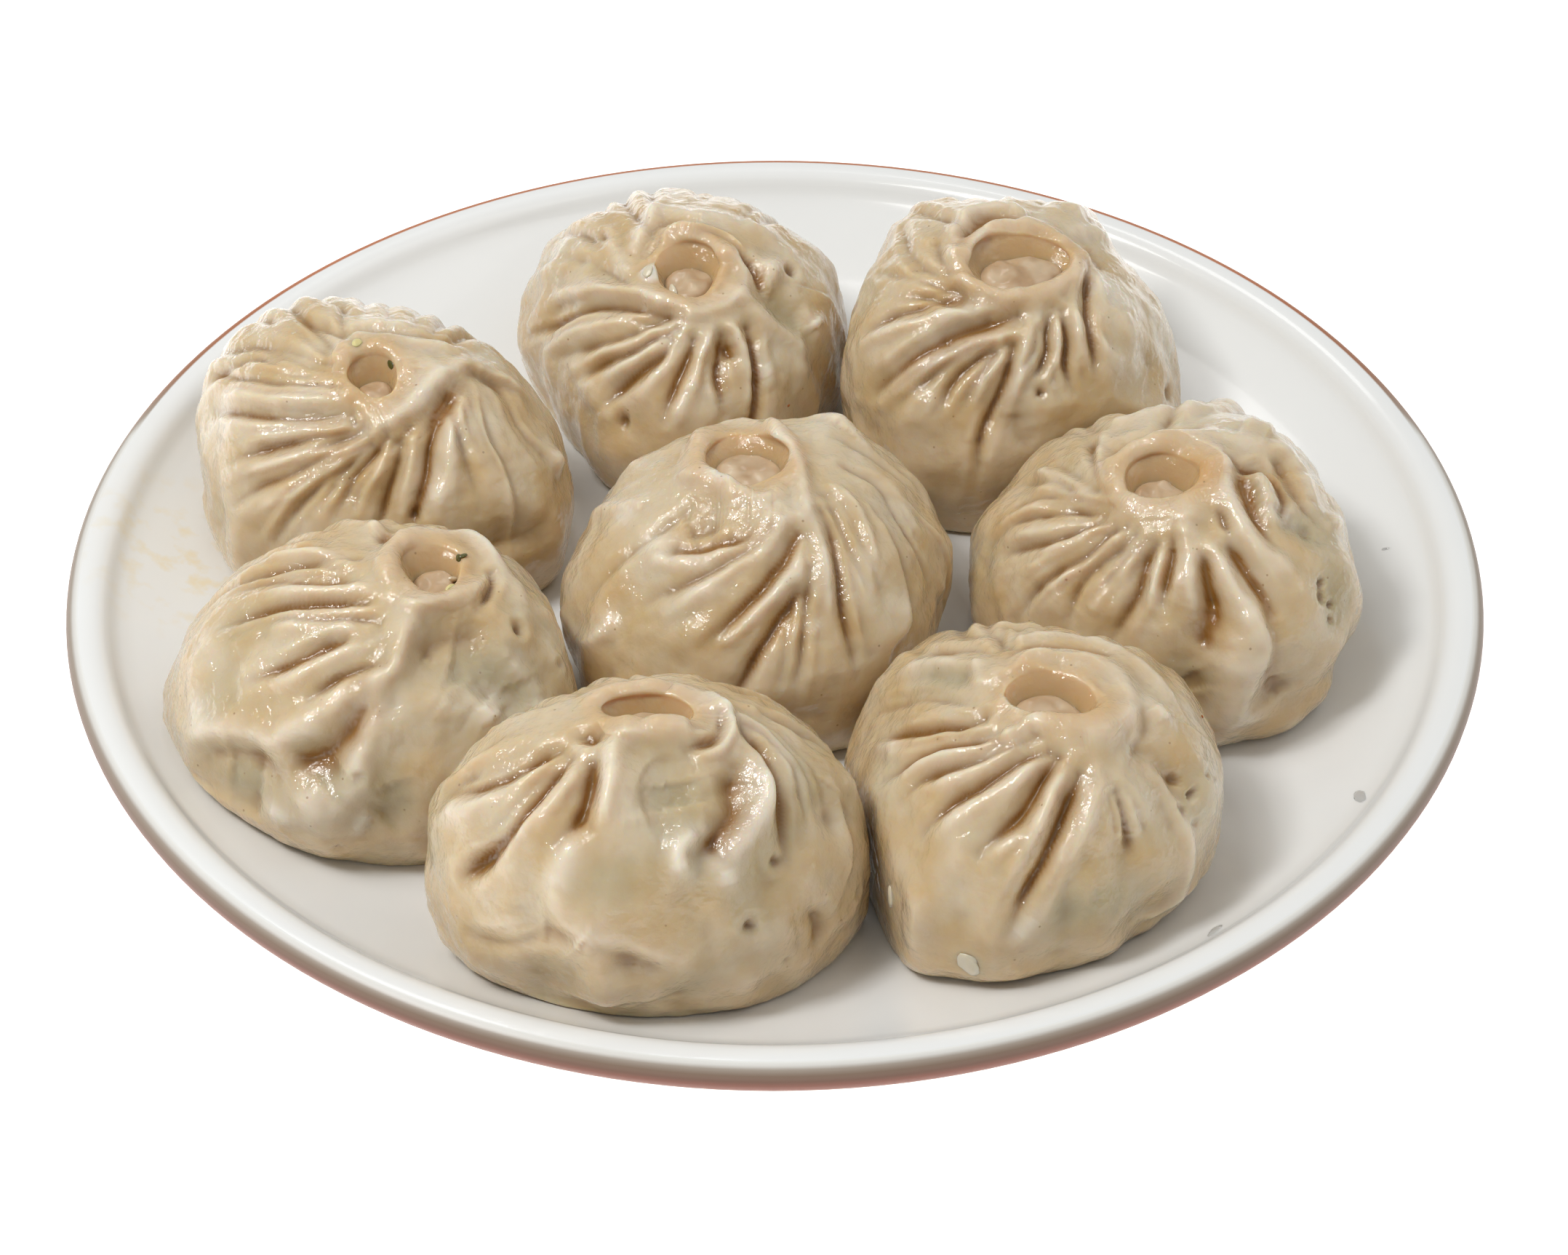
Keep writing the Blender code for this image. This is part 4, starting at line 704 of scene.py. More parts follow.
            ("r", 0.8, 2, ((-19.9, -9.1, 34.7), (-23.5, -9, 32.1), (-27.5, -6.7, 28.3))),
            ("v", 1.4, 2, ((-24.9, -14.6, 25.2), (-20.4, -15.7, 29.8))),
        ),
    },
    "front_left": {
        "place": (-59.8, -36.8), "half": (30.2, 27.8), "height": 35.7, "dome": 2.1, "square": 2.08,
        "lobe": (0, 0), "skew": -0.022, "lean": (2.1, 0.9), "hole": (8.3, 1.5, 4.6, 5.2),
        "turn": 13, "pinch": (-108, 9), "fillTop": 2.8, "seed": 18, "back": (42, 162), "sheer": 0.5,
        "folds": (
            ("r", 1.1, 1.8, ((5, -3.7, 36.1), (4.1, 2.5, 35.6), (4.9, 6.7, 35.9), (6.9, 10, 34.3),
                (10.8, 10.7, 33.1), (14.8, 10.6, 31.6), (17.8, 7.3, 31.2), (19.6, 3.2, 31))),
            ("r", 1, 1.6, ((6.2, -5.2, 35.9), (8.3, -6.3, 35.1), (11.8, -5.3, 34.3), (15.6, -1.9, 33.4),
                (18.1, 2, 31.9))),
            ("v", 1.3, 0.9, ((18.4, 4.1, 31.6), (18.8, 1.8, 31.6), (18.1, -1.3, 32))),
            ("r", 1.1, 2, ((12.2, 14.2, 30.9), (16.6, 9.2, 31.3), (21.2, 4.9, 29.5), (23.5, -.1, 28.1))),
            ("r", 1.8, 2.1, ((8.8, -7.5, 34.3), (7.6, -11.8, 32.9), (6.8, -14.9, 31.4), (4.8, -17, 30.2),
                (3.4, -19.7, 28.1), (2.9, -22.1, 25.5), (1.2, -23.9, 23.1))),
            ("t", 2.4, 5.5, ((13.7, -12.9, 30.8), (19.1, -12.9, 28), (17.3, -16.9, 26.2))),
            ("t", 1.2, 4, ((23.9, -10.7, 25), (25.2, -13.1, 21.2))),
            ("r", 1, 2.4, ((21.9, -9.7, 27.5), (25.1, -10.5, 23.6), (25.8, -13.3, 19.7))),
            ("d", 1.5, 2.4, ((10.4, -13.8, 31.3), (11.3, -11.5, 32.2), (13.4, -9.6, 32.4),
                (16.9, -7.9, 31.5))),
            ("w", 1.4, 3, ((19.1, -16, 25.6), (20.6, -17.2, 23.1))),
            ("v", 1.3, 1.2, ((23, -3.9, 28.3),)),
            ("v", 1.3, 1.4, ((-1, -1.5, 35.5), (-6.2, -.5, 34.8), (-12.8, 2, 32.8), (-17, 3, 30.6))),
            ("r", 0.8, 1.4, ((1.5, -3.7, 35.5), (-5, -2.7, 34.9), (-12, -.9, 33))),
            ("v", 1.5, 1.4, ((1.5, -5.8, 35.1), (-3.8, -5.2, 34.7), (-9.2, -4.3, 33.7), (-13.9, -3.6, 31.9),
                (-17.5, -3.3, 29.9))),
            ("v", 1.1, 0.9, ((4, -9, 34.2), (0, -8.5, 34.3), (-4.8, -8.1, 33.9), (-8.5, -7.1, 33.2))),
            ("r", 0.8, 1.1, ((1.6, -7.5, 34.7), (-5, -6.9, 34.2), (-10.7, -5.5, 32.9))),
            ("r", 0.8, 1.3, ((2.2, -9.9, 33.9), (-4.7, -9.1, 33.6), (-11, -7.5, 32.3))),
            ("v", 2.3, 1.3, ((-1, -11.9, 33), (-3.8, -12.7, 32.3), (-6.4, -13.4, 31.3), (-9.1, -13.9, 30.2),
                (-12, -13.9, 28.9))),
            ("v", 1.2, 1.1, ((5.1, -15.3, 31.3), (2.2, -15.7, 31.1), (-1.1, -16.7, 30.3),
                (-3.4, -17.7, 29.2))),
            ("d", 2.6, 2.3, ((2.9, -18.9, 28.8), (2.2, -20.7, 27.1), (.6, -22.3, 25.3), (-1.2, -23.3, 23.7),
                (-3.5, -24, 22.1), (-5.9, -24.2, 20.8))),
            ("t", 1.3, 5, ((-.9, -24.7, 21.4), (-3.9, -25.8, 18.3))),
            ("r", 1.3, 2.8, ((2.4, -22.4, 25.1), (1.2, -25.4, 20.4), (-1.2, -27.1, 15.2), (-3.5, -27.5, 9.9))),
            ("r", 1, 2, ((2.3, -17.5, 29.9), (-1.9, -19.1, 28.2), (-5.7, -20.7, 25.8), (-10.6, -21.2, 23))),
            ("r", 1, 1.8, ((2, -13.2, 32.5), (-4.1, -14.3, 31.3), (-9.3, -15.6, 29.1))),
            ("r", 0.7, 1.1, ((-1.5, 2.3, 35.6), (-7.2, 5.5, 34.4), (-13.2, 7.5, 32))),
            ("v", 0.7, 1.1, ((-1.4, .4, 35.6), (-7.6, 3.2, 34.5), (-13.8, 4.8, 32.2))),
            ("d", 1.3, 2.6, ((-22.3, -17, 15.7), (-17.3, -19.9, 18.8), (-13.5, -22.1, 19.2),
                (-10.1, -24.3, 18))),
            ("r", 0.8, 2.4, ((-25.2, -13, 15.8), (-19.5, -16.9, 20.5), (-13.9, -20, 22.2), (-9.4, -23, 21))),
            ("t", 1.6, 5, ((-19.5, -19.9, 15.1), (-13.1, -23.8, 15.5))),
            ("w", 0.6, 1.5, ((-11.6, -25.1, 13.4), (-8.4, -26.3, 12.8))),
            ("r", 1, 3, ((-6.1, -25.5, 17.9), (-5, -26.6, 15.3), (-6, -27, 11.2))),
            ("t", 1.6, 3.4, ((5.4, -26, 18.9), (6.2, -26.9, 15.5), (2.9, -27.6, 13.2))),
            ("w", 0.6, 0.9, ((2.1, -27.5, 14.2), (.5, -27.8, 11.2))),
            ("v", 0.9, 1, ((1.5, -25.6, 20),)),
            ("v", 0.7, 1, ((-2.2, -27.5, 7.2),)),
            ("w", 0.4, 2.4, ((-24.3, -10.7, 20.2), (-22.5, -13.7, 20.1))),
            ("r", 1.3, 1.5, ((.4, 14.8, 32.5), (1.7, 11.3, 34))),
            ("r", 0.8, 2, ((-5, 18.1, 30), (-1.6, 11.8, 33.8))),
            ("v", 1.2, 1.2, ((2.5, 10.4, 34.3), (3.1, 7.8, 35.3))),
            ("r", 1, 2.6, ((12.4, -18.4, 27.4), (16.3, -19.1, 24.6))),
            ("v", 0.8, 0.8, ((28.4, -3.6, 21.1),)),
        ),
    },
}


def outlineAt(d, angle):
    # reach of the belly in mm at an angle round the dumpling: a soft square with lobes
    power = d["square"]
    across = np.abs(np.cos(angle) / d["half"][0]) ** power
    along = np.abs(np.sin(angle) / d["half"][1]) ** power
    lobes = d["lobe"][0] * np.cos(3 * angle) + d["lobe"][1] * np.sin(3 * angle)
    return (across + along) ** (-1 / power) * (1 + lobes + d["skew"] * np.sin(2 * angle))


def domeOver(d, x, y):
    # the point of the smooth, leaning dome over x and y
    reach = np.hypot(x, y) / outlineAt(d, np.arctan2(y, x))
    rise = np.sqrt(1 - np.clip(reach, 0, 1) ** d["dome"])
    low = fold["equator"] * d["height"]
    return np.stack([x + d["lean"][0] * rise, y + d["lean"][1] * rise, low + (d["height"] - low) * rise], -1)


def crownOf(d):
    # centre and radius of the ring where the neck of the dumpling ends
    inner = sum(d["hole"][2:]) / 2 + fold["ropeWidth"]
    angle, reach = math.radians(d["pinch"][0]), d["pinch"][1]
    ring = np.array(d["hole"][:2]) + (reach - inner) / 2 * np.array([math.cos(angle), math.sin(angle)])
    return ring, (reach + inner) / 2


def holeEdge(d, angle):
    # reach of the hole's uneven edge from its middle, in mm
    wide, deep = d["hole"][2:]
    turned = angle - math.radians(d["turn"])
    uneven = 0.05 * np.sin(3 * angle + d["seed"]) + 0.04 * np.sin(2 * angle + 2 * d["seed"])
    return wide * deep / np.hypot(deep * np.cos(turned), wide * np.sin(turned)) * (0.97 + uneven)


def skinAt(d, angle, height):
    # the smooth skin below the neck: height is 0 at the neck, 1 at the belly, 2 at the foot
    ring, ringRadius = crownOf(d)
    upper = np.clip(height, 0, 1)
    share = np.sin(upper * math.pi / 2)
    edge = outlineAt(d, angle)
    radius = ringRadius + (edge - ringRadius) * share
    top = domeOver(d, ring[0] * (1 - share) + radius * np.cos(angle), ring[1] * (1 - share) + radius * np.sin(angle))
    turn = (np.clip(height, 1, 2) - 1) * math.pi / 2
    radius = edge * (1 - fold["tuck"] * (1 - np.cos(turn)))
    low = fold["equator"] * d["height"] * (1 - np.sin(turn))
    side = np.stack([radius * np.cos(angle), radius * np.sin(angle), low], -1)
    return np.where((height <= 1)[..., None], top, side)


def backFolds(d):
    # pleats down the side without listed folds, from the neck to the belly
    chance = np.random.default_rng(d["seed"])
    belly, end = d["back"]
    folds = []
    while belly < end:
        heights = np.linspace(chance.choice([0.06, 0.14, 0.22, 0.3]), chance.uniform(0.6, 0.95), 5)
        swirl = chance.uniform(5, 26) * (1 - heights) ** 1.3 + chance.uniform(-2, 2, 5)
        path = skinAt(d, np.radians(belly + swirl), heights)
        folds.append(("v", chance.uniform(0.4, 1.0), chance.uniform(1.2, 1.9), path))
        belly += chance.uniform(10, 18)
    return folds


def curveThrough(path):
    # a smooth line through the listed points, a point about every half millimetre
    path = np.array(path, float)
    if len(path) == 1:
        return path
    ends = np.concatenate([[2 * path[0] - path[1]], path, [2 * path[-1] - path[-2]]])
    line = [path[:1]]
    for a, b, c, e in zip(ends, ends[1:], ends[2:], ends[3:]):
        steps = max(int(np.linalg.norm(c - b) / 0.5), 2)
        t = np.linspace(0, 1, steps + 1)[1:, None]
        square, cube = 2 * a - 5 * b + 4 * c - e, 3 * b - a - 3 * c + e
        line.append(0.5 * (2 * b + (c - a) * t + square * t ** 2 + cube * t ** 3))
    return np.concatenate(line)


def withCompanions(d, stroke, chance):
    # a crease runs on past its last point and has a finer one on each side of it
    kind, tall, wide, path = stroke
    path = np.array(path, float)
    if kind != "v" or len(path) < 3 or wide > 2.3:
        return [stroke]
    path = np.concatenate([path, [path[-1] + 0.8 * (path[-1] - path[-2])]])
    away = path - np.array([0, 0, 0.35 * d["height"]])
    sideways = np.cross(np.gradient(path, axis=0), away)
    sideways /= np.linalg.norm(sideways, axis=-1)[:, None] + 1e-9
    found = [(kind, tall, wide, path)]
    for side in (-1, 1):
        apart = chance.uniform(1.5, 2.6) * np.linspace(0.7, 1.25, len(path))[:, None]
        start, end = chance.integers(0, 2), len(path) - chance.integers(0, 2)
        if end - start > 2:
            found.append((kind, chance.uniform(0.35, 0.6), 0.8, (path + side * apart * sideways)[start:end]))
    return found


# folds with a soft profile: which way they go, the mark they leave and its share; ridges leave a painted sheen
softFolds = {"r": (1, "paleFlakeAndSheen", 0.35), "w": (1, "paleFlakeAndSheen", 0.9), "t": (-1, "thin", 1.0), "y": (1, "lip", 1.2)}


def addFold(d, stroke, points, out, relief, marks):
    # presses or raises one fold in the relief (mm) and paints its marks
    kind, tall, wide, path = stroke
    # fine creases are a little narrower than listed
    if kind == "v" and wide < 2.3:
        wide = min(0.8 * wide, 0.9 + 0.35 * (wide - 1.0))
    tall = 1.15 * tall if kind == "r" else tall
    line = curveThrough(path)
    reach = 3.2 * wide
    box = ((points > line.min(0) - reach) & (points < line.max(0) + reach)).all(-1)
    if not box.any():
        return
    near = points[box]
    gaps = ((near[:, None] - line[None]) ** 2).sum(-1)
    nearest = gaps.argmin(1)
    gap = np.sqrt(gaps[np.arange(len(near)), nearest])
    along = nearest / max(len(line) - 1, 1)
    # a fold fades towards its ends
    if len(line) == 1:
        taper = 1.0
    else:
        taper = (0.55 + 0.45 * smooth(0, 0.18, along)) * (1 - 0.75 * smooth(0.6, 1, along) * (kind in "vs"))
        taper = taper * (1 - 0.5 * smooth(0.8, 1, along) * (kind in "rwt"))
    soft = np.exp(-((gap / wide) ** 2)) * taper
    sharp = np.exp(-((gap / wide) ** 1.4)) * taper
    if kind in "vd":
        crease = min(1.2 * tall, 1.9 * wide) if wide < 2.3 and len(line) > 1 else tall
        relief[box] -= crease * sharp
        # dough bulges a little on both sides of a crease
        relief[box] += 0.2 * crease * np.exp(-(((gap - 2.0 * wide) / wide) ** 2)) * taper
        # painted shade in the crease, weaker low on the dumpling and in dents
        deep = np.exp(-((gap / (0.75 * wide)) ** 1.6)) * taper
        tone = np.clip((tall - 0.35) / 1.8, 0.05, 1.0) * min(1.0, 2.2 / wide) ** 2
        tone = tone * np.clip((near[:, 2] / d["height"] - 0.25) / 0.4, 0.25, 1)
        tone = tone * (0.6 if kind == "d" or len(line) == 1 else 1.0)
        marks["groove"][box] += tone * (deep if kind == "v" else soft)
    # ridges get a painted sheen, thin dents the grey of the filling, yellowish ridges ochre
    if kind in softFolds:
        side, mark, share = softFolds[kind]
        relief[box] += side * tall * soft
        marks[mark][box] += share * soft
    if kind == "f":
        relief[box] += tall * np.exp(-((gap / wide) ** 4))
        marks["paleFlakeAndSheen"][box] += 2.0 * np.exp(-((gap / wide) ** 4))
    if kind == "s":
        after = line[np.minimum(nearest + 1, len(line) - 1)] - line[np.maximum(nearest - 1, 0)]
        side = (np.cross(out[box], after) * (near - line[nearest])).sum(-1)
        side = side / (np.linalg.norm(after, axis=-1) + 1e-9)
        relief[box] += tall * np.exp(-gap / wide) * smooth(-0.3, 0.5, side) * taper
        # painted shade on the low side of the step
        marks["groove"][box] += 0.25 * np.exp(-((gap / 1.3) ** 1.5)) * smooth(0.5, -0.2, side) * taper


def blurred(values, cells):
    # mean over the neighbours up to so many cells away
    for axis in (0, 1):
        values = sum(np.roll(values, shift, axis) for shift in range(-cells, cells + 1)) / (2 * cells + 1)
    return values


uneven = {
    # lumps: spacing and height in mm, and what is added to the seed
    "broad": ((10.0, 0.8, 0), (4.6, 0.45, 40)), "small": ((2.3, 0.17, 80), (1.2, 0.06, 81)),
    # spacing and height in mm of streaks round the hole, crinkles on the shoulder, drapes and sagging lumps
    # below it, and the radius at which the spacing of crinkles and drapes is taken
    "streak": (4.5, 0.22), "crinkle": (2.8, 0.24), "drape": (5.5, 1.0), "sag": (7.0, 0.9), "belly": 30.0,
}


def wrapperRows(d, angle):
    # rows of points from the middle of the hollow's floor, out of the hole and down to the base, each row's
    # height on the skin (below 0 in the hole and the neck) and the first row of the neck
    across, along = np.cos(angle), np.sin(angle)
    hole = np.array(d["hole"][:2])
    ring, ringRadius = crownOf(d)
    roof = domeOver(d, hole[:1], hole[1:])[0, 2] - fold["throat"] - fold["crust"]

    rows, heights = [], []
    # the hollow that holds the filling
    hollow = (
        (0.22, 2.6), (0.46, 2.6), (0.62, 2.8), (0.72, 4.6), (0.77, 0.3 * d["height"]),
        (0.71, (0.3 * d["height"] + roof - 7.6) / 2), (0.62, roof - 7.6), (0.5, roof - 4.6), (0.38, roof - 2.6),
    )
    for scale, level in hollow:
        radius = outlineAt(d, angle) * scale
        push = max(level / d["height"], 0) ** 2
        rows.append(np.stack([
            radius * across + d["lean"][0] * push, radius * along + d["lean"][1] * push, np.full_like(angle, level),
        ], -1))
        heights.append(-9.0)
    edge = holeEdge(d, angle)

    def bowlRow(size, depth):
        row = domeOver(d, hole[0] + edge * size * across, hole[1] + edge * size * along)
        aside = [side * depth / fold["throat"] for side in fold["drift"]]
        return row + np.array([*aside, -depth])

    lowest, roofRow = bowlRow(*fold["bowl"][0]), rows[-1]
    for share in (0.35, 0.75):
        rows.append(roofRow * (1 - share) + lowest * share)
        heights.append(-9.0)
    for size, depth in fold["bowl"]:
        rows.append(bowlRow(size, depth))
        heights.append(-1.0 - depth / fold["throat"])
    # the neck: from the edge of the hole out to the ring, fine rows over the lip and then even ones
    innerX, innerY = hole[0] + edge * across, hole[1] + edge * along
    outerX, outerY = ring[0] + ringRadius * across, ring[1] + ringRadius * along
    width = np.hypot(outerX - innerX, outerY - innerY)
    lip = np.minimum(fold["lipWidth"], 0.5 * width)
    steps = [step / fold["lipWidth"] * lip for step in (0.04, 0.16, 0.36, 0.62, 0.92, 1.3)]
    steps += [lip + (width - lip) * step * 0.96 for step in np.arange(1, 13) / 12]
    neckStart = len(rows)
    for step in steps:
        share = step / width
        rows.append(domeOver(d, innerX * (1 - share) + outerX * share, innerY * (1 - share) + outerY * share))
        heights.append(-0.30 * float(np.mean(1 - share)) - 0.01)
    # the body: fine rows at the top, down to the belly at 1 and round under to the foot at 2
    body = np.concatenate([np.linspace(0, 0.12, 9), np.linspace(0.135, 1, 61), np.linspace(1.05, 1.97, 18), [2.0]])
    for height in body:
        rows.append(skinAt(d, angle, np.full_like(angle, height)))
        heights.append(height)
    # the foot is rounded in, and closed by a flat base
    foot = rows[-1]
    for scale in (0.94, 0.7, 0.35):
        rows.append(foot * np.array([scale, scale, 1.0]))
        heights.append(2.0)
    return np.array(rows), np.array(heights), neckStart


def unevenDough(d, points, angle, turned, fromHole, heightOf):
    # relief in mm: lumps, streaks that run round the hole, crinkles over the shoulder and drapes down the side
    ringRadius = crownOf(d)[1]
    outer = smooth(-2.2, -0.3, heightOf)
    stretch = np.interp(heightOf, [-0.3, 0.0, 0.15, 0.5, 1.0, 1.7, 2.0], [0.3, 0.4, 0.5, 0.8, 1.0, 0.8, 0.0])
    broad = sum(tall * lumps(points, size, d["seed"] + own) for size, tall, own in uneven["broad"])
    small = sum(tall * lumps(points, size, d["seed"] + own) for size, tall, own in uneven["small"])
    streaks = np.stack([turned * ringRadius / uneven["streak"][0], fromHole / 1.2, 0 * turned], -1)
    gathered = np.exp(-((fromHole / 4.5) ** 2)) * (heightOf < 1)
    lumpy = outer * (stretch * broad + small + uneven["streak"][1] * gathered * lumps(streaks, 1.0, d["seed"] + 120))
    across = angle * uneven["belly"]
    spokes = np.stack([across / uneven["crinkle"][0] + 0 * turned, heightOf * 2.4, 0 * turned], -1)
    shoulder = np.exp(-((np.clip(heightOf, 0, 2) / 0.75) ** 2))
    crinkled = uneven["crinkle"][1] * shoulder * smooth(0.05, 0.45, heightOf)
    crinkles = outer * crinkled * lumps(spokes, 1.0, d["seed"] + 140)
    hanging = np.interp(heightOf, [0.25, 0.6, 1.65, 2.0], [0.0, 0.9, 0.95, 0.0])
    drapes = np.stack([across / uneven["drape"][0] + 0 * turned, points[..., 2] / 22, 0 * turned], -1)
    draped = uneven["drape"][1] * lumps(drapes, 1.0, d["seed"] + 160)
    sagging = uneven["sag"][1] * lumps(points, uneven["sag"][0], d["seed"] + 170)
    return lumpy, crinkles, hanging * (draped + sagging)


def wrapperSurface(d):
    # the rows of points with lip, folds and uneven dough, and the marks that the colours of the dough follow,
    # painted shade and a painted sheen among them
    angle = np.radians(np.arange(fold["columns"]) * 360 / fold["columns"])
    points, heights, neckStart = wrapperRows(d, angle)
    hole = np.array(d["hole"][:2])

    # the lip round the hole: thick on some sides and nearly gone on others
    middle = domeOver(d, hole[:1], hole[1:])[0]
    fromX, fromY = points[..., 0] - middle[0], points[..., 1] - middle[1]
    turned = np.arctan2(fromY, fromX)
    fromHole = np.hypot(fromX, fromY) - holeEdge(d, turned)
    fromHole[heights >= 1] = 40  # the lower side is far from it
    fromHole = np.clip(fromHole, 0, None)
    tall = 0.9 + 0.75 * np.sin(turned + d["seed"] * 1.7) + 0.45 * np.sin(turned * 2 + d["seed"])
    tall = fold["lip"] * np.clip(tall + 0.3 * np.sin(turned * 5 + d["seed"] * 3), 0.1, 2.0)
    crest = 1.5
    inner = np.clip(1 - (1 - fromHole / crest) ** 2, 0, 1) ** 0.7
    rise = np.where(fromHole < crest, inner, np.exp(-(((fromHole - crest) / 2.0) ** 2)))
    points[neckStart:, :, 2] += (tall * rise)[neckStart:]
    heightOf = heights[:, None] * np.ones(len(angle))

    # directions away from the dough, from the neighbours in both ways of the grid
    down = np.gradient(points, axis=0)
    out = np.cross(down, np.roll(points, -1, axis=1) - np.roll(points, 1, axis=1))
    out /= np.linalg.norm(out, axis=-1)[..., None] + 1e-9

    relief = np.zeros(heightOf.shape)
    marks = {key: np.zeros(heightOf.shape) for key in ("groove", "thin", "paleFlakeAndSheen", "lip")}
    skin = slice(neckStart, len(points) - 3)
    chance = np.random.default_rng(d["seed"] + 200)
    strokes = [part for stroke in d["folds"] for part in withCompanions(d, stroke, chance)]
    for stroke in (*backFolds(d), *strokes):
        addFold(
            d, stroke, points[skin], out[skin], relief[skin], {key: values[skin] for key, values in marks.items()}
        )
    relief = 0.4 * relief + 0.6 * blurred(relief, 1)
    relief = np.clip(relief, -4.5, 3.0)
    marks["groove"] = 0.3 * marks["groove"] + 0.7 * blurred(marks["groove"], 1)
    if "pits" in d:
        middle, reach = d["pits"]
        near = np.exp(-((np.linalg.norm(points - np.array(middle), axis=-1) / reach) ** 4))
        relief -= 1.6 * near * np.clip(lumps(points, 1.6, d["seed"] + 30) - 0.15, 0, 1)
        marks["thin"] += 0.5 * near

    for part in unevenDough(d, points, angle, turned, fromHole, heightOf):
        relief = relief + part
    relief = relief * (heightOf > -3)
    points = points + relief[..., None] * out
    # painted shade in the hollows between folds, and a painted sheen on their crests
    proud = (relief - blurred(relief, 6)) * (heightOf > -1) * (heightOf < 1.9)
    marks["groove"] += 0.7 * smooth(-0.1, -1.2, proud)
    marks["paleFlakeAndSheen"] += 0.6 * smooth(0.1, 0.9, proud)
    seen = np.interp(heightOf, [0.1, 0.4, 1.6, 1.9], [0.0, 1.0, 1.0, 0.0])
    marks["thin"] += d["sheer"] * seen * smooth(0.05, 0.6, lumps(points, 9.0, d["seed"] + 300))
    # painted shade deeper down the hole
    throat = np.interp(heightOf, [-3, -2, -1.5, -1.0, -0.29], [0.45, 0.32, 0.18, 0.06, 0.0])
    marks["groove"] = np.clip(np.maximum(marks["groove"], throat), 0, 1)
    marks["lip"] += np.interp(heightOf, [-3, -2, -1, -0.3], [1.3, 1.5, 1.4, 1.0]) * np.exp(-((fromHole / 3.2) ** 2))
    # the dough is more ochre towards its foot
    marks["lip"] += 0.6 * smooth(0.8, 0.05, points[..., 2] / d["height"]) * (heightOf > -1)
    marks["lip"][heightOf < -3] = 0
    for key, values in marks.items():
        marks[key] = np.clip(values, 0, 2)
    return seated(d, points), marks


def seated(d, points):
    # moves the dumpling to its place, lets its foot follow the rise of the well, keeps it off its neighbours
    here = np.array(d["place"])
    points = points + np.array([*here, 0.0])
    for other in dumplings.values():
        if other is d:
            continue
        across = np.array(other["place"]) - here
        length = np.linalg.norm(across)
        across = across / length
        angle = math.atan2(across[1], across[0])
        mine, theirs = outlineAt(d, angle), outlineAt(other, angle + math.pi)
        limit = length * mine / (mine + theirs) - fold["gap"] / 2
        over = (points[..., :2] - here) @ across - (limit - fold["press"])
        over = np.clip(over, 0, None)
        points[..., :2] -= (over - fold["press"] * (1 - np.exp(-over / fold["press"])))[..., None] * across
    seat = wellHeight(math.hypot(*here))
    rise = wellHeight(np.hypot(points[..., 0], points[..., 1])) - seat
    low = fold["equator"] * d["height"]
    sunk = np.clip(1 - points[..., 2] / low, 0, 1)
    points[..., 2] = np.maximum(points[..., 2], 0) + seat + fold["seat"] + rise * sunk
    return points


def ballOf(columns, rows):
    # half the columns and rings as a ball primitive, then every face cut in four
    deselectAll()
    bpy.ops.mesh.primitive_uv_sphere_add(segments=columns // 2, ring_count=(rows + 1) // 2, radius=1)
    ball = bpy.context.object
    bpy.ops.object.mode_set(mode="EDIT")
    bpy.ops.mesh.subdivide(number_cuts=1, smoothness=0)
    bpy.ops.object.mode_set(mode="OBJECT")
    bpy.ops.object.shade_smooth()
    return ball


def shapedBall(ball, name, points, marks=None):
    # a copy of the ball whose rings and columns are moved to the rows and columns of points, and its poles to
    # the middle of the first and the last row
    rows, columns = points.shape[:2]
    deselectAll()
    ball.select_set(True)
    bpy.context.view_layer.objects.active = ball
    bpy.ops.object.duplicate()
    piece = bpy.context.object
    piece.name = name
    mesh = piece.data
    corners = np.empty(len(mesh.vertices) * 3)
    mesh.vertices.foreach_get("co", corners)
    corners = corners.reshape(-1, 3)
    polar = np.arctan2(np.hypot(corners[:, 0], corners[:, 1]), corners[:, 2])
    row = np.round(polar / math.pi * (rows + 1)).astype(int) - 1
    column = np.round(np.arctan2(corners[:, 1], corners[:, 0]) / (2 * math.pi) * columns).astype(int) % columns
    moved = points[np.clip(row, 0, rows - 1), column]
    moved[row < 0] = points[0].mean(0)
    moved[row >= rows] = points[-1].mean(0)
    mesh.vertices.foreach_set("co", (moved * mm).ravel())
    for key, values in (marks or {}).items():
        attribute = mesh.attributes.new(key, "FLOAT", "POINT")
        attribute.data.foreach_set("value", values[np.clip(row, 0, rows - 1), column].astype(np.float32))
    mesh.update()
    return piece


def discard(piece):
    deselectAll()
    piece.select_set(True)
    bpy.ops.object.delete()


# steamed wheat dough: pale and translucent, it scatters light a few millimetres deep, goes ochre where
# it is folded double, greyish where the filling shows through, and has a wet skin. Painted shade darkens its
# creases, hollows and the hole, and a painted sheen pales its crests.
# Bran specks are drawn a little coarser than they are, so that they show.
dough = {
    # the darkest colour is painted shade over the ochre of doubled dough; the palest is a painted sheen on crests and
    # the pale of flakes
    "pale": "#d3c4a9", "warm": "#c9af84", "lip": "#c9a26e", "groove": "#92601f", "thin": "#a69a78",
    "paleFlakeAndSheen": "#e4dbcb", "speck": "#8d6b45",
    # how strong each mark gets, one over the other
    "most": (("lip", 0.5), ("thin", 0.65), ("paleFlakeAndSheen", 0.75), ("groove", 0.95)),
    # depth of the scattered light and spacing of each pattern, in mm
    "scatter": 4.0, "blotch": 9.0, "speckEvery": 2.6, "ripple": 2.4, "pucker": 1.3, "grain": 0.7, "film": 6.0,
}
steamedDough, tree = newMaterial("steamedDough")
place = addNode(tree, "ShaderNodeTexCoord")
inMm = addNode(tree, "ShaderNodeMapping", {0: place.outputs["Object"], "Scale": (1000, 1000, 1000)})
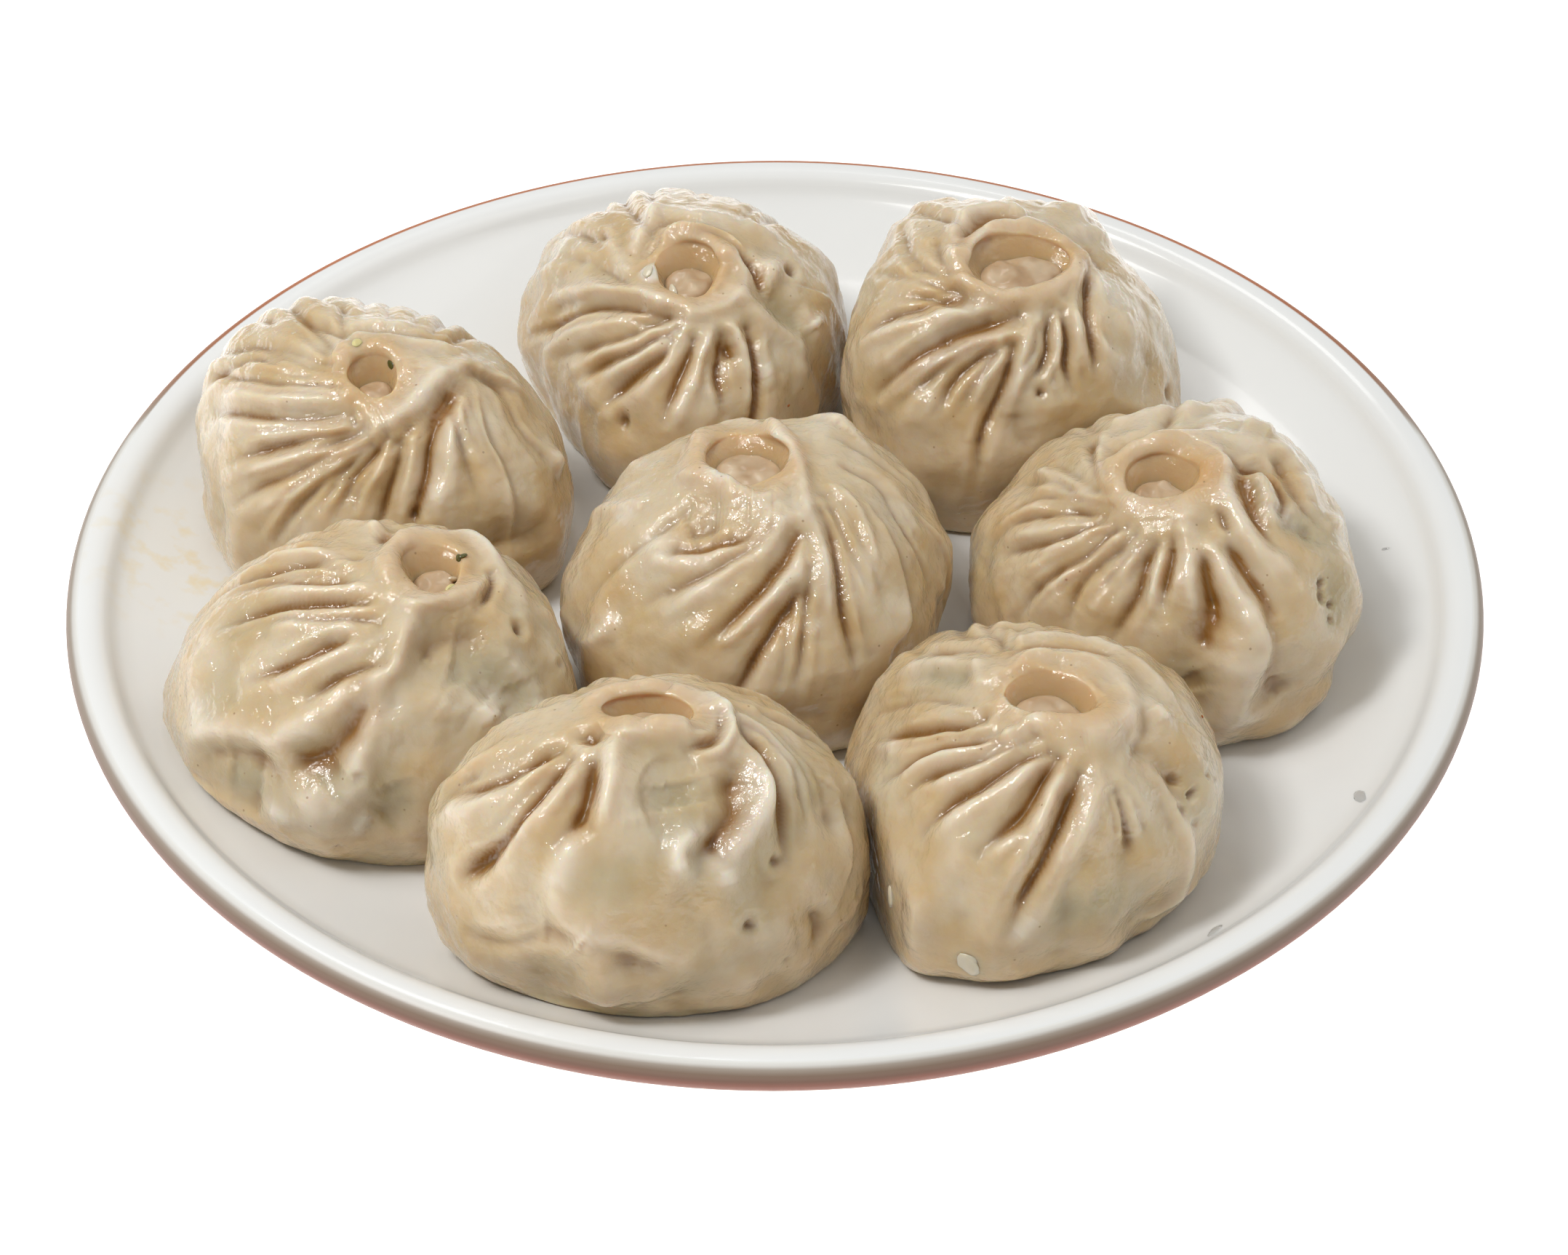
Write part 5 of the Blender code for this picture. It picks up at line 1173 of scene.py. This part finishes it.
blotch = addNode(
    tree, "ShaderNodeTexNoise", {"Vector": inMm.outputs[0], "Scale": 1 / dough["blotch"], "Detail": 4.0}
)
blotchShare = addNode(tree, "ShaderNodeMapRange", {0: blotch.outputs[0], 1: 0.35, 2: 0.65})
colour = addNode(
    tree, "ShaderNodeMix",
    {0: blotchShare.outputs[0], 6: hexColour(dough["pale"]), 7: hexColour(dough["warm"])}, data_type="RGBA",
)
for key, most in dough["most"]:
    mark = addNode(tree, "ShaderNodeAttribute", attribute_name=key)
    share = addNode(tree, "ShaderNodeMath", {0: mark.outputs["Fac"], 1: most}, operation="MULTIPLY")
    colour = addNode(
        tree, "ShaderNodeMix", {0: share.outputs[0], 6: colour.outputs[2], 7: hexColour(dough[key])}, data_type="RGBA"
    )
cells = addNode(tree, "ShaderNodeTexVoronoi", {"Vector": inMm.outputs[0], "Scale": 1 / dough["speckEvery"]})
dot = addNode(tree, "ShaderNodeMapRange", {0: cells.outputs["Distance"], 1: 0.05, 2: 0.09, 3: 1.0, 4: 0.0})
pick = addNode(tree, "ShaderNodeSeparateColor", {0: cells.outputs["Color"]})
picked = addNode(tree, "ShaderNodeMath", {0: pick.outputs[0], 1: 0.55}, operation="GREATER_THAN")
dot = addNode(tree, "ShaderNodeMath", {0: dot.outputs[0], 1: picked.outputs[0]}, operation="MULTIPLY")
dot = addNode(tree, "ShaderNodeMath", {0: dot.outputs[0], 1: 0.6}, operation="MULTIPLY")
colour = addNode(
    tree, "ShaderNodeMix", {0: dot.outputs[0], 6: colour.outputs[2], 7: hexColour(dough["speck"])}, data_type="RGBA"
)
ripple = addNode(tree, "ShaderNodeTexNoise", {"Vector": inMm.outputs[0], "Scale": 1 / dough["ripple"], "Detail": 3.0})
soft = addNode(tree, "ShaderNodeBump", {"Height": ripple.outputs[0], "Strength": 0.35, "Distance": 0.0006})
bump = addNode(tree, "ShaderNodeBump", {"Height": ripple.outputs[0], "Strength": 0.85, "Distance": 0.0007})
pucker = addNode(tree, "ShaderNodeTexNoise", {"Vector": inMm.outputs[0], "Scale": 1 / dough["pucker"], "Detail": 2.0})
bump = addNode(
    tree, "ShaderNodeBump",
    {"Height": pucker.outputs[0], "Strength": 0.6, "Distance": 0.0006, "Normal": bump.outputs[0]},
)
grain = addNode(tree, "ShaderNodeTexNoise", {"Vector": inMm.outputs[0], "Scale": 1 / dough["grain"], "Detail": 2.0})
bump = addNode(
    tree, "ShaderNodeBump",
    {"Height": grain.outputs[0], "Strength": 0.35, "Distance": 0.00012, "Normal": bump.outputs[0]},
)
# the wet film is thicker in patches
film = addNode(tree, "ShaderNodeTexNoise", {"Vector": inMm.outputs[0], "Scale": 1 / dough["film"], "Detail": 2.0})
filmShare = addNode(tree, "ShaderNodeMapRange", {0: film.outputs[0], 1: 0.35, 2: 0.62, 3: 0.45, 4: 1.0})
skinShader = addNode(
    tree, "ShaderNodeBsdfPrincipled",
    {
        "Base Color": colour.outputs[2], "Roughness": 0.34, "IOR": 1.42, "Specular IOR Level": 0.4,
        "Normal": soft.outputs[0],
        "Subsurface Weight": 0.8, "Subsurface Radius": (1.0, 0.56, 0.24), "Subsurface Scale": dough["scatter"] * mm,
        "Coat Weight": filmShare.outputs[0], "Coat Roughness": 0.05, "Coat IOR": 1.5, "Coat Normal": bump.outputs[0],
    },
)
addNode(tree, "ShaderNodeOutputMaterial", {"Surface": skinShader.outputs[0]})

ball = None
for name, d in dumplings.items():
    points, marks = wrapperSurface(d)
    ball = ball or ballOf(points.shape[1], points.shape[0])
    wrapper = shapedBall(ball, "dough_" + name, points, marks)
    wrapper.data.materials.append(steamedDough)
    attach(wrapper, "root")
    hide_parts("wrapper_" + name)
discard(ball)
print("dumplings are folded")

# filling

mince = {
    # the mound's rows as shares of the hole, and how lumpy each is
    "columns": 96, "mound": (0.12, 0.25, 0.38, 0.51, 0.62, 0.73), "liveliness": (1.0, 1.0, 1.0, 0.9, 0.6, 0.3),
    "brown": "#b0906c", "pale": "#d3bd9f", "crumb": 2.2,
}


def fillingSurface(d):
    # rows of points from the top of the mound in the hole down to the middle of the filling's floor
    angle = np.radians(np.arange(mince["columns"]) * 360 / mince["columns"])
    hole = np.array(d["hole"][:2])
    dome = domeOver(d, hole[:1], hole[1:])[0]
    roof = dome[2] - fold["throat"] - fold["crust"]
    edge = holeEdge(d, angle)
    rows = []
    # a lumpy mound in the throat
    widest = mince["mound"][-1]
    for size in mince["mound"]:
        row = domeOver(d, hole[0] + edge * size * np.cos(angle), hole[1] + edge * size * np.sin(angle))
        row[:, :2] += np.array(fold["drift"]) * 0.7
        row[:, 2] = dome[2] - d["fillTop"] + 0.3 - 0.8 * (size / widest) ** 10
        rows.append(row)
    # below it a plain body that stays clear of the dough's hollow
    hollow = (
        (0.34, roof - 3.4), (0.5, roof - 5.4), (0.62, roof - 8.4),
        (0.71, (0.3 * d["height"] + roof - 7.6) / 2 - 1), (0.77, 0.3 * d["height"]),
        (0.72, 4.8), (0.62, 3.2), (0.3, 3.0),
    )
    for scale, level in hollow:
        radius = outlineAt(d, angle) * (scale - 0.02)
        push = max(level / d["height"], 0) ** 2
        x = radius * np.cos(angle) + d["lean"][0] * push
        y = radius * np.sin(angle) + d["lean"][1] * push
        rows.append(np.stack([x, y, np.full_like(x, level)], -1))
    points = np.array(rows)
    top = np.zeros(len(points))
    top[:len(mince["liveliness"])] = mince["liveliness"]
    bumps = 0.6 * lumps(points, 2.5, d["seed"] + 7) + 0.3 * lumps(points, 1.3, d["seed"] + 9)
    points[..., 2] += bumps * top[:, None]
    points = points + np.array([*d["place"], 0.0])
    seat = wellHeight(math.hypot(*d["place"]))
    rise = wellHeight(np.hypot(points[..., 0], points[..., 1])) - seat
    sunk = np.clip(1 - points[..., 2] / (fold["equator"] * d["height"]), 0, 1)
    points[..., 2] += seat + fold["seat"] + rise * sunk
    return points


meat, tree = newMaterial("mincedMeat")  # steamed minced meat and onion: pinkish brown, wet, with paler bits
place = addNode(tree, "ShaderNodeTexCoord")
inMm = addNode(tree, "ShaderNodeMapping", {0: place.outputs["Object"], "Scale": (1000, 1000, 1000)})
crumb = addNode(
    tree, "ShaderNodeTexVoronoi", {"Vector": inMm.outputs[0], "Scale": 1 / mince["crumb"]}, feature="SMOOTH_F1"
)
bits = addNode(tree, "ShaderNodeSeparateColor", {0: crumb.outputs["Color"]})
colour = addNode(
    tree, "ShaderNodeMix", {0: bits.outputs[0], 6: hexColour(mince["brown"]), 7: hexColour(mince["pale"])},
    data_type="RGBA",
)
bump = addNode(tree, "ShaderNodeBump", {"Height": crumb.outputs["Distance"], "Strength": 0.7, "Distance": 0.0006})
meatShader = addNode(
    tree, "ShaderNodeBsdfPrincipled",
    {
        "Base Color": colour.outputs[2], "Roughness": 0.4, "IOR": 1.42, "Normal": bump.outputs[0],
        "Subsurface Weight": 0.3, "Subsurface Radius": (1.0, 0.5, 0.3), "Subsurface Scale": 0.0015,
        "Coat Weight": 0.6, "Coat Roughness": 0.1,
    },
)
addNode(tree, "ShaderNodeOutputMaterial", {"Surface": meatShader.outputs[0]})

ball = None
for name, d in dumplings.items():
    points = fillingSurface(d)
    ball = ball or ballOf(points.shape[1], points.shape[0])
    filling = shapedBall(ball, "mince_" + name, points)
    filling.data.materials.append(meat)
    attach(filling, "root")
    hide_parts("filling_" + name)
discard(ball)
print("fillings are set")

# small bits on the dough, the filling and the plate


def scatterBits(name, material, spots):
    # one piece of flattened lumps. Each spot: what it lies on, a point near it, (length, width, thickness),
    # all in mm, its turn in degrees and the share of its thickness that is sunk in
    aside = Vector((-0.002, -0.0015, 0)) * mm
    lying = []
    for i, (under, near, size, turn, sunk) in enumerate(spots):
        surface = bpy.data.objects[under]
        point = surface.closest_point_on_mesh([c * mm for c in near])[1]
        # the slope is read a hair aside, so that a bit on an edge between two faces leans the same way each time
        normal = surface.closest_point_on_mesh(point + aside)[2]
        deselectAll()
        bpy.ops.mesh.primitive_ico_sphere_add(subdivisions=3, radius=0.5 * mm)
        bit = bpy.context.object
        bpy.ops.object.mode_set(mode="EDIT")
        bpy.ops.transform.vertex_random(offset=0.14 * mm, uniform=1, seed=i + 1)
        bpy.ops.mesh.vertices_smooth(factor=0.5, repeat=2)
        bpy.ops.object.mode_set(mode="OBJECT")
        bit.scale = (size[1], size[0], size[2])
        bit.rotation_mode = "QUATERNION"
        bit.rotation_quaternion = normal.to_track_quat("Z", "Y") @ Quaternion((0, 0, 1), math.radians(turn))
        bit.location = point + normal * (0.5 - sunk) * size[2] * mm
        bpy.ops.object.transform_apply(location=True, rotation=True, scale=True)
        bpy.ops.object.shade_smooth()
        lying.append(bit)
    deselectAll()
    for bit in lying:
        bit.select_set(True)
    bpy.context.view_layer.objects.active = lying[0]
    if len(lying) > 1:
        bpy.ops.object.join()
    piece = bpy.context.object
    piece.name = name
    piece.data.materials.append(material)
    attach(piece, "root")
    return piece


def wetBit(name, colour, **more):
    # a soaked bit of food: softly translucent under a thin gloss of broth
    material, tree = newMaterial(name)
    settings = {
        "Base Color": hexColour(colour), "Roughness": 0.3, "IOR": 1.4, "Subsurface Weight": 0.4,
        "Subsurface Radius": (1.0, 0.7, 0.4), "Subsurface Scale": 0.001, "Coat Weight": 0.8, "Coat Roughness": 0.08,
    }
    shader = addNode(tree, "ShaderNodeBsdfPrincipled", {**settings, **more})
    addNode(tree, "ShaderNodeOutputMaterial", {"Surface": shader.outputs[0]})
    return material


herbs = {  # dried herb leaf: dull olive green flecks
    "colour": "#4d4a12",
    "spots": (
        ("dough_front_left", (-45.8, -31.0, 40.5), (1.5, 1.0, 0.5), 60, 0.3),
        ("dough_front_left", (-45.3, -30.9, 40.3), (1.4, 0.8, 0.5), 125, 0.3),
        ("dough_back_left", (-60.0, 12.9, 43.3), (2.0, 1.2, 0.5), 70, 0.6),
    ),
}
scatterBits("herbFlecks", wetBit("driedHerb", herbs["colour"]), herbs["spots"])

onions = {  # steamed onion: translucent white, wet
    "colour": "#d8cdb6",
    "spots": (
        ("dough_front_right", (26.3, -88.8, 16.4), (5.6, 3.3, 0.8), 8, 0.62),
        ("dough_front_right", (16.2, -78.1, 19.0), (3.8, 1.6, 0.8), 10, 0.5),
        ("dough_back_middle", (-21.2, 41.8, 41.6), (2.6, 1.7, 0.7), 15, 0.6),
        ("mince_front_left", (-46.6, -34.2, 39.0), (4.6, 0.9, 0.8), 215, 0.1),
        ("mince_back_middle", (-17.0, 40.0, 39.0), (2.4, 1.2, 0.9), 70, 0.2),
    ),
}
scatterBits("onionBits", wetBit("steamedOnion", onions["colour"]), onions["spots"])

yellows = {  # boiled egg-yellow bits of vegetable: waxy and pale
    "colour": "#dccf92",
    "spots": (
        ("dough_front_left", (-46.7, -38.2, 41.0), (2.4, 1.3, 0.9), 100, 0.3),
        ("dough_back_left", (-65.8, 15.4, 44.8), (2.4, 1.6, 0.8), 60, 0.5),
    ),
}
scatterBits("yellowBits", wetBit("waxyYellow", yellows["colour"]), yellows["spots"])

chillies = {  # chilli skin: rust-red specks
    "colour": "#a8591f",
    "spots": (
        ("dough_back_middle", (2.8, 29.2, 23.1), (0.8, 0.4, 0.3), 80, 0.3),
        ("dough_front_middle", (-47.0, -66.0, 22.0), (1.0, 0.7, 0.4), 10, 0.3),
        ("dough_front_right", (60.0, -54.0, 30.0), (0.6, 0.4, 0.3), 0, 0.3),
        ("dough_front_left", (-66.0, -45.0, 30.0), (0.45, 0.4, 0.3), 0, 0.3),
    ),
}
scatterBits("chilliFlecks", wetBit("chilliSkin", chillies["colour"]), chillies["spots"])

drops = {  # drops of clear broth on the glaze
    "spots": (
        ("plateGlazed", (85.0, -54.9, 15.5), (4.2, 1.9, 0.3), -52, 0.5),
        ("plateGlazed", (60.8, -81.8, 16.0), (3.6, 1.5, 0.3), -70, 0.5),
        ("plateGlazed", (98.0, 3.4, 14.0), (1.6, 0.6, 0.4), -20, 0.5),
    ),
}
clear = {"Transmission Weight": 1.0, "Roughness": 0.02, "IOR": 1.333, "Subsurface Weight": 0.0}
scatterBits("brothDrops", wetBit("clearBroth", "#ffffff", **clear), drops["spots"])

seep = {  # filling juice set to a brown jelly where two dumplings meet
    "colour": "#7d6653",
    "spots": (("dough_front_right", (15.6, -66.0, 16.0), (9.0, 3.4, 2.6), 0, 0.4),),
}
scatterBits("setJuice", wetBit("meatJelly", seep["colour"]), seep["spots"])
print("bits are scattered")
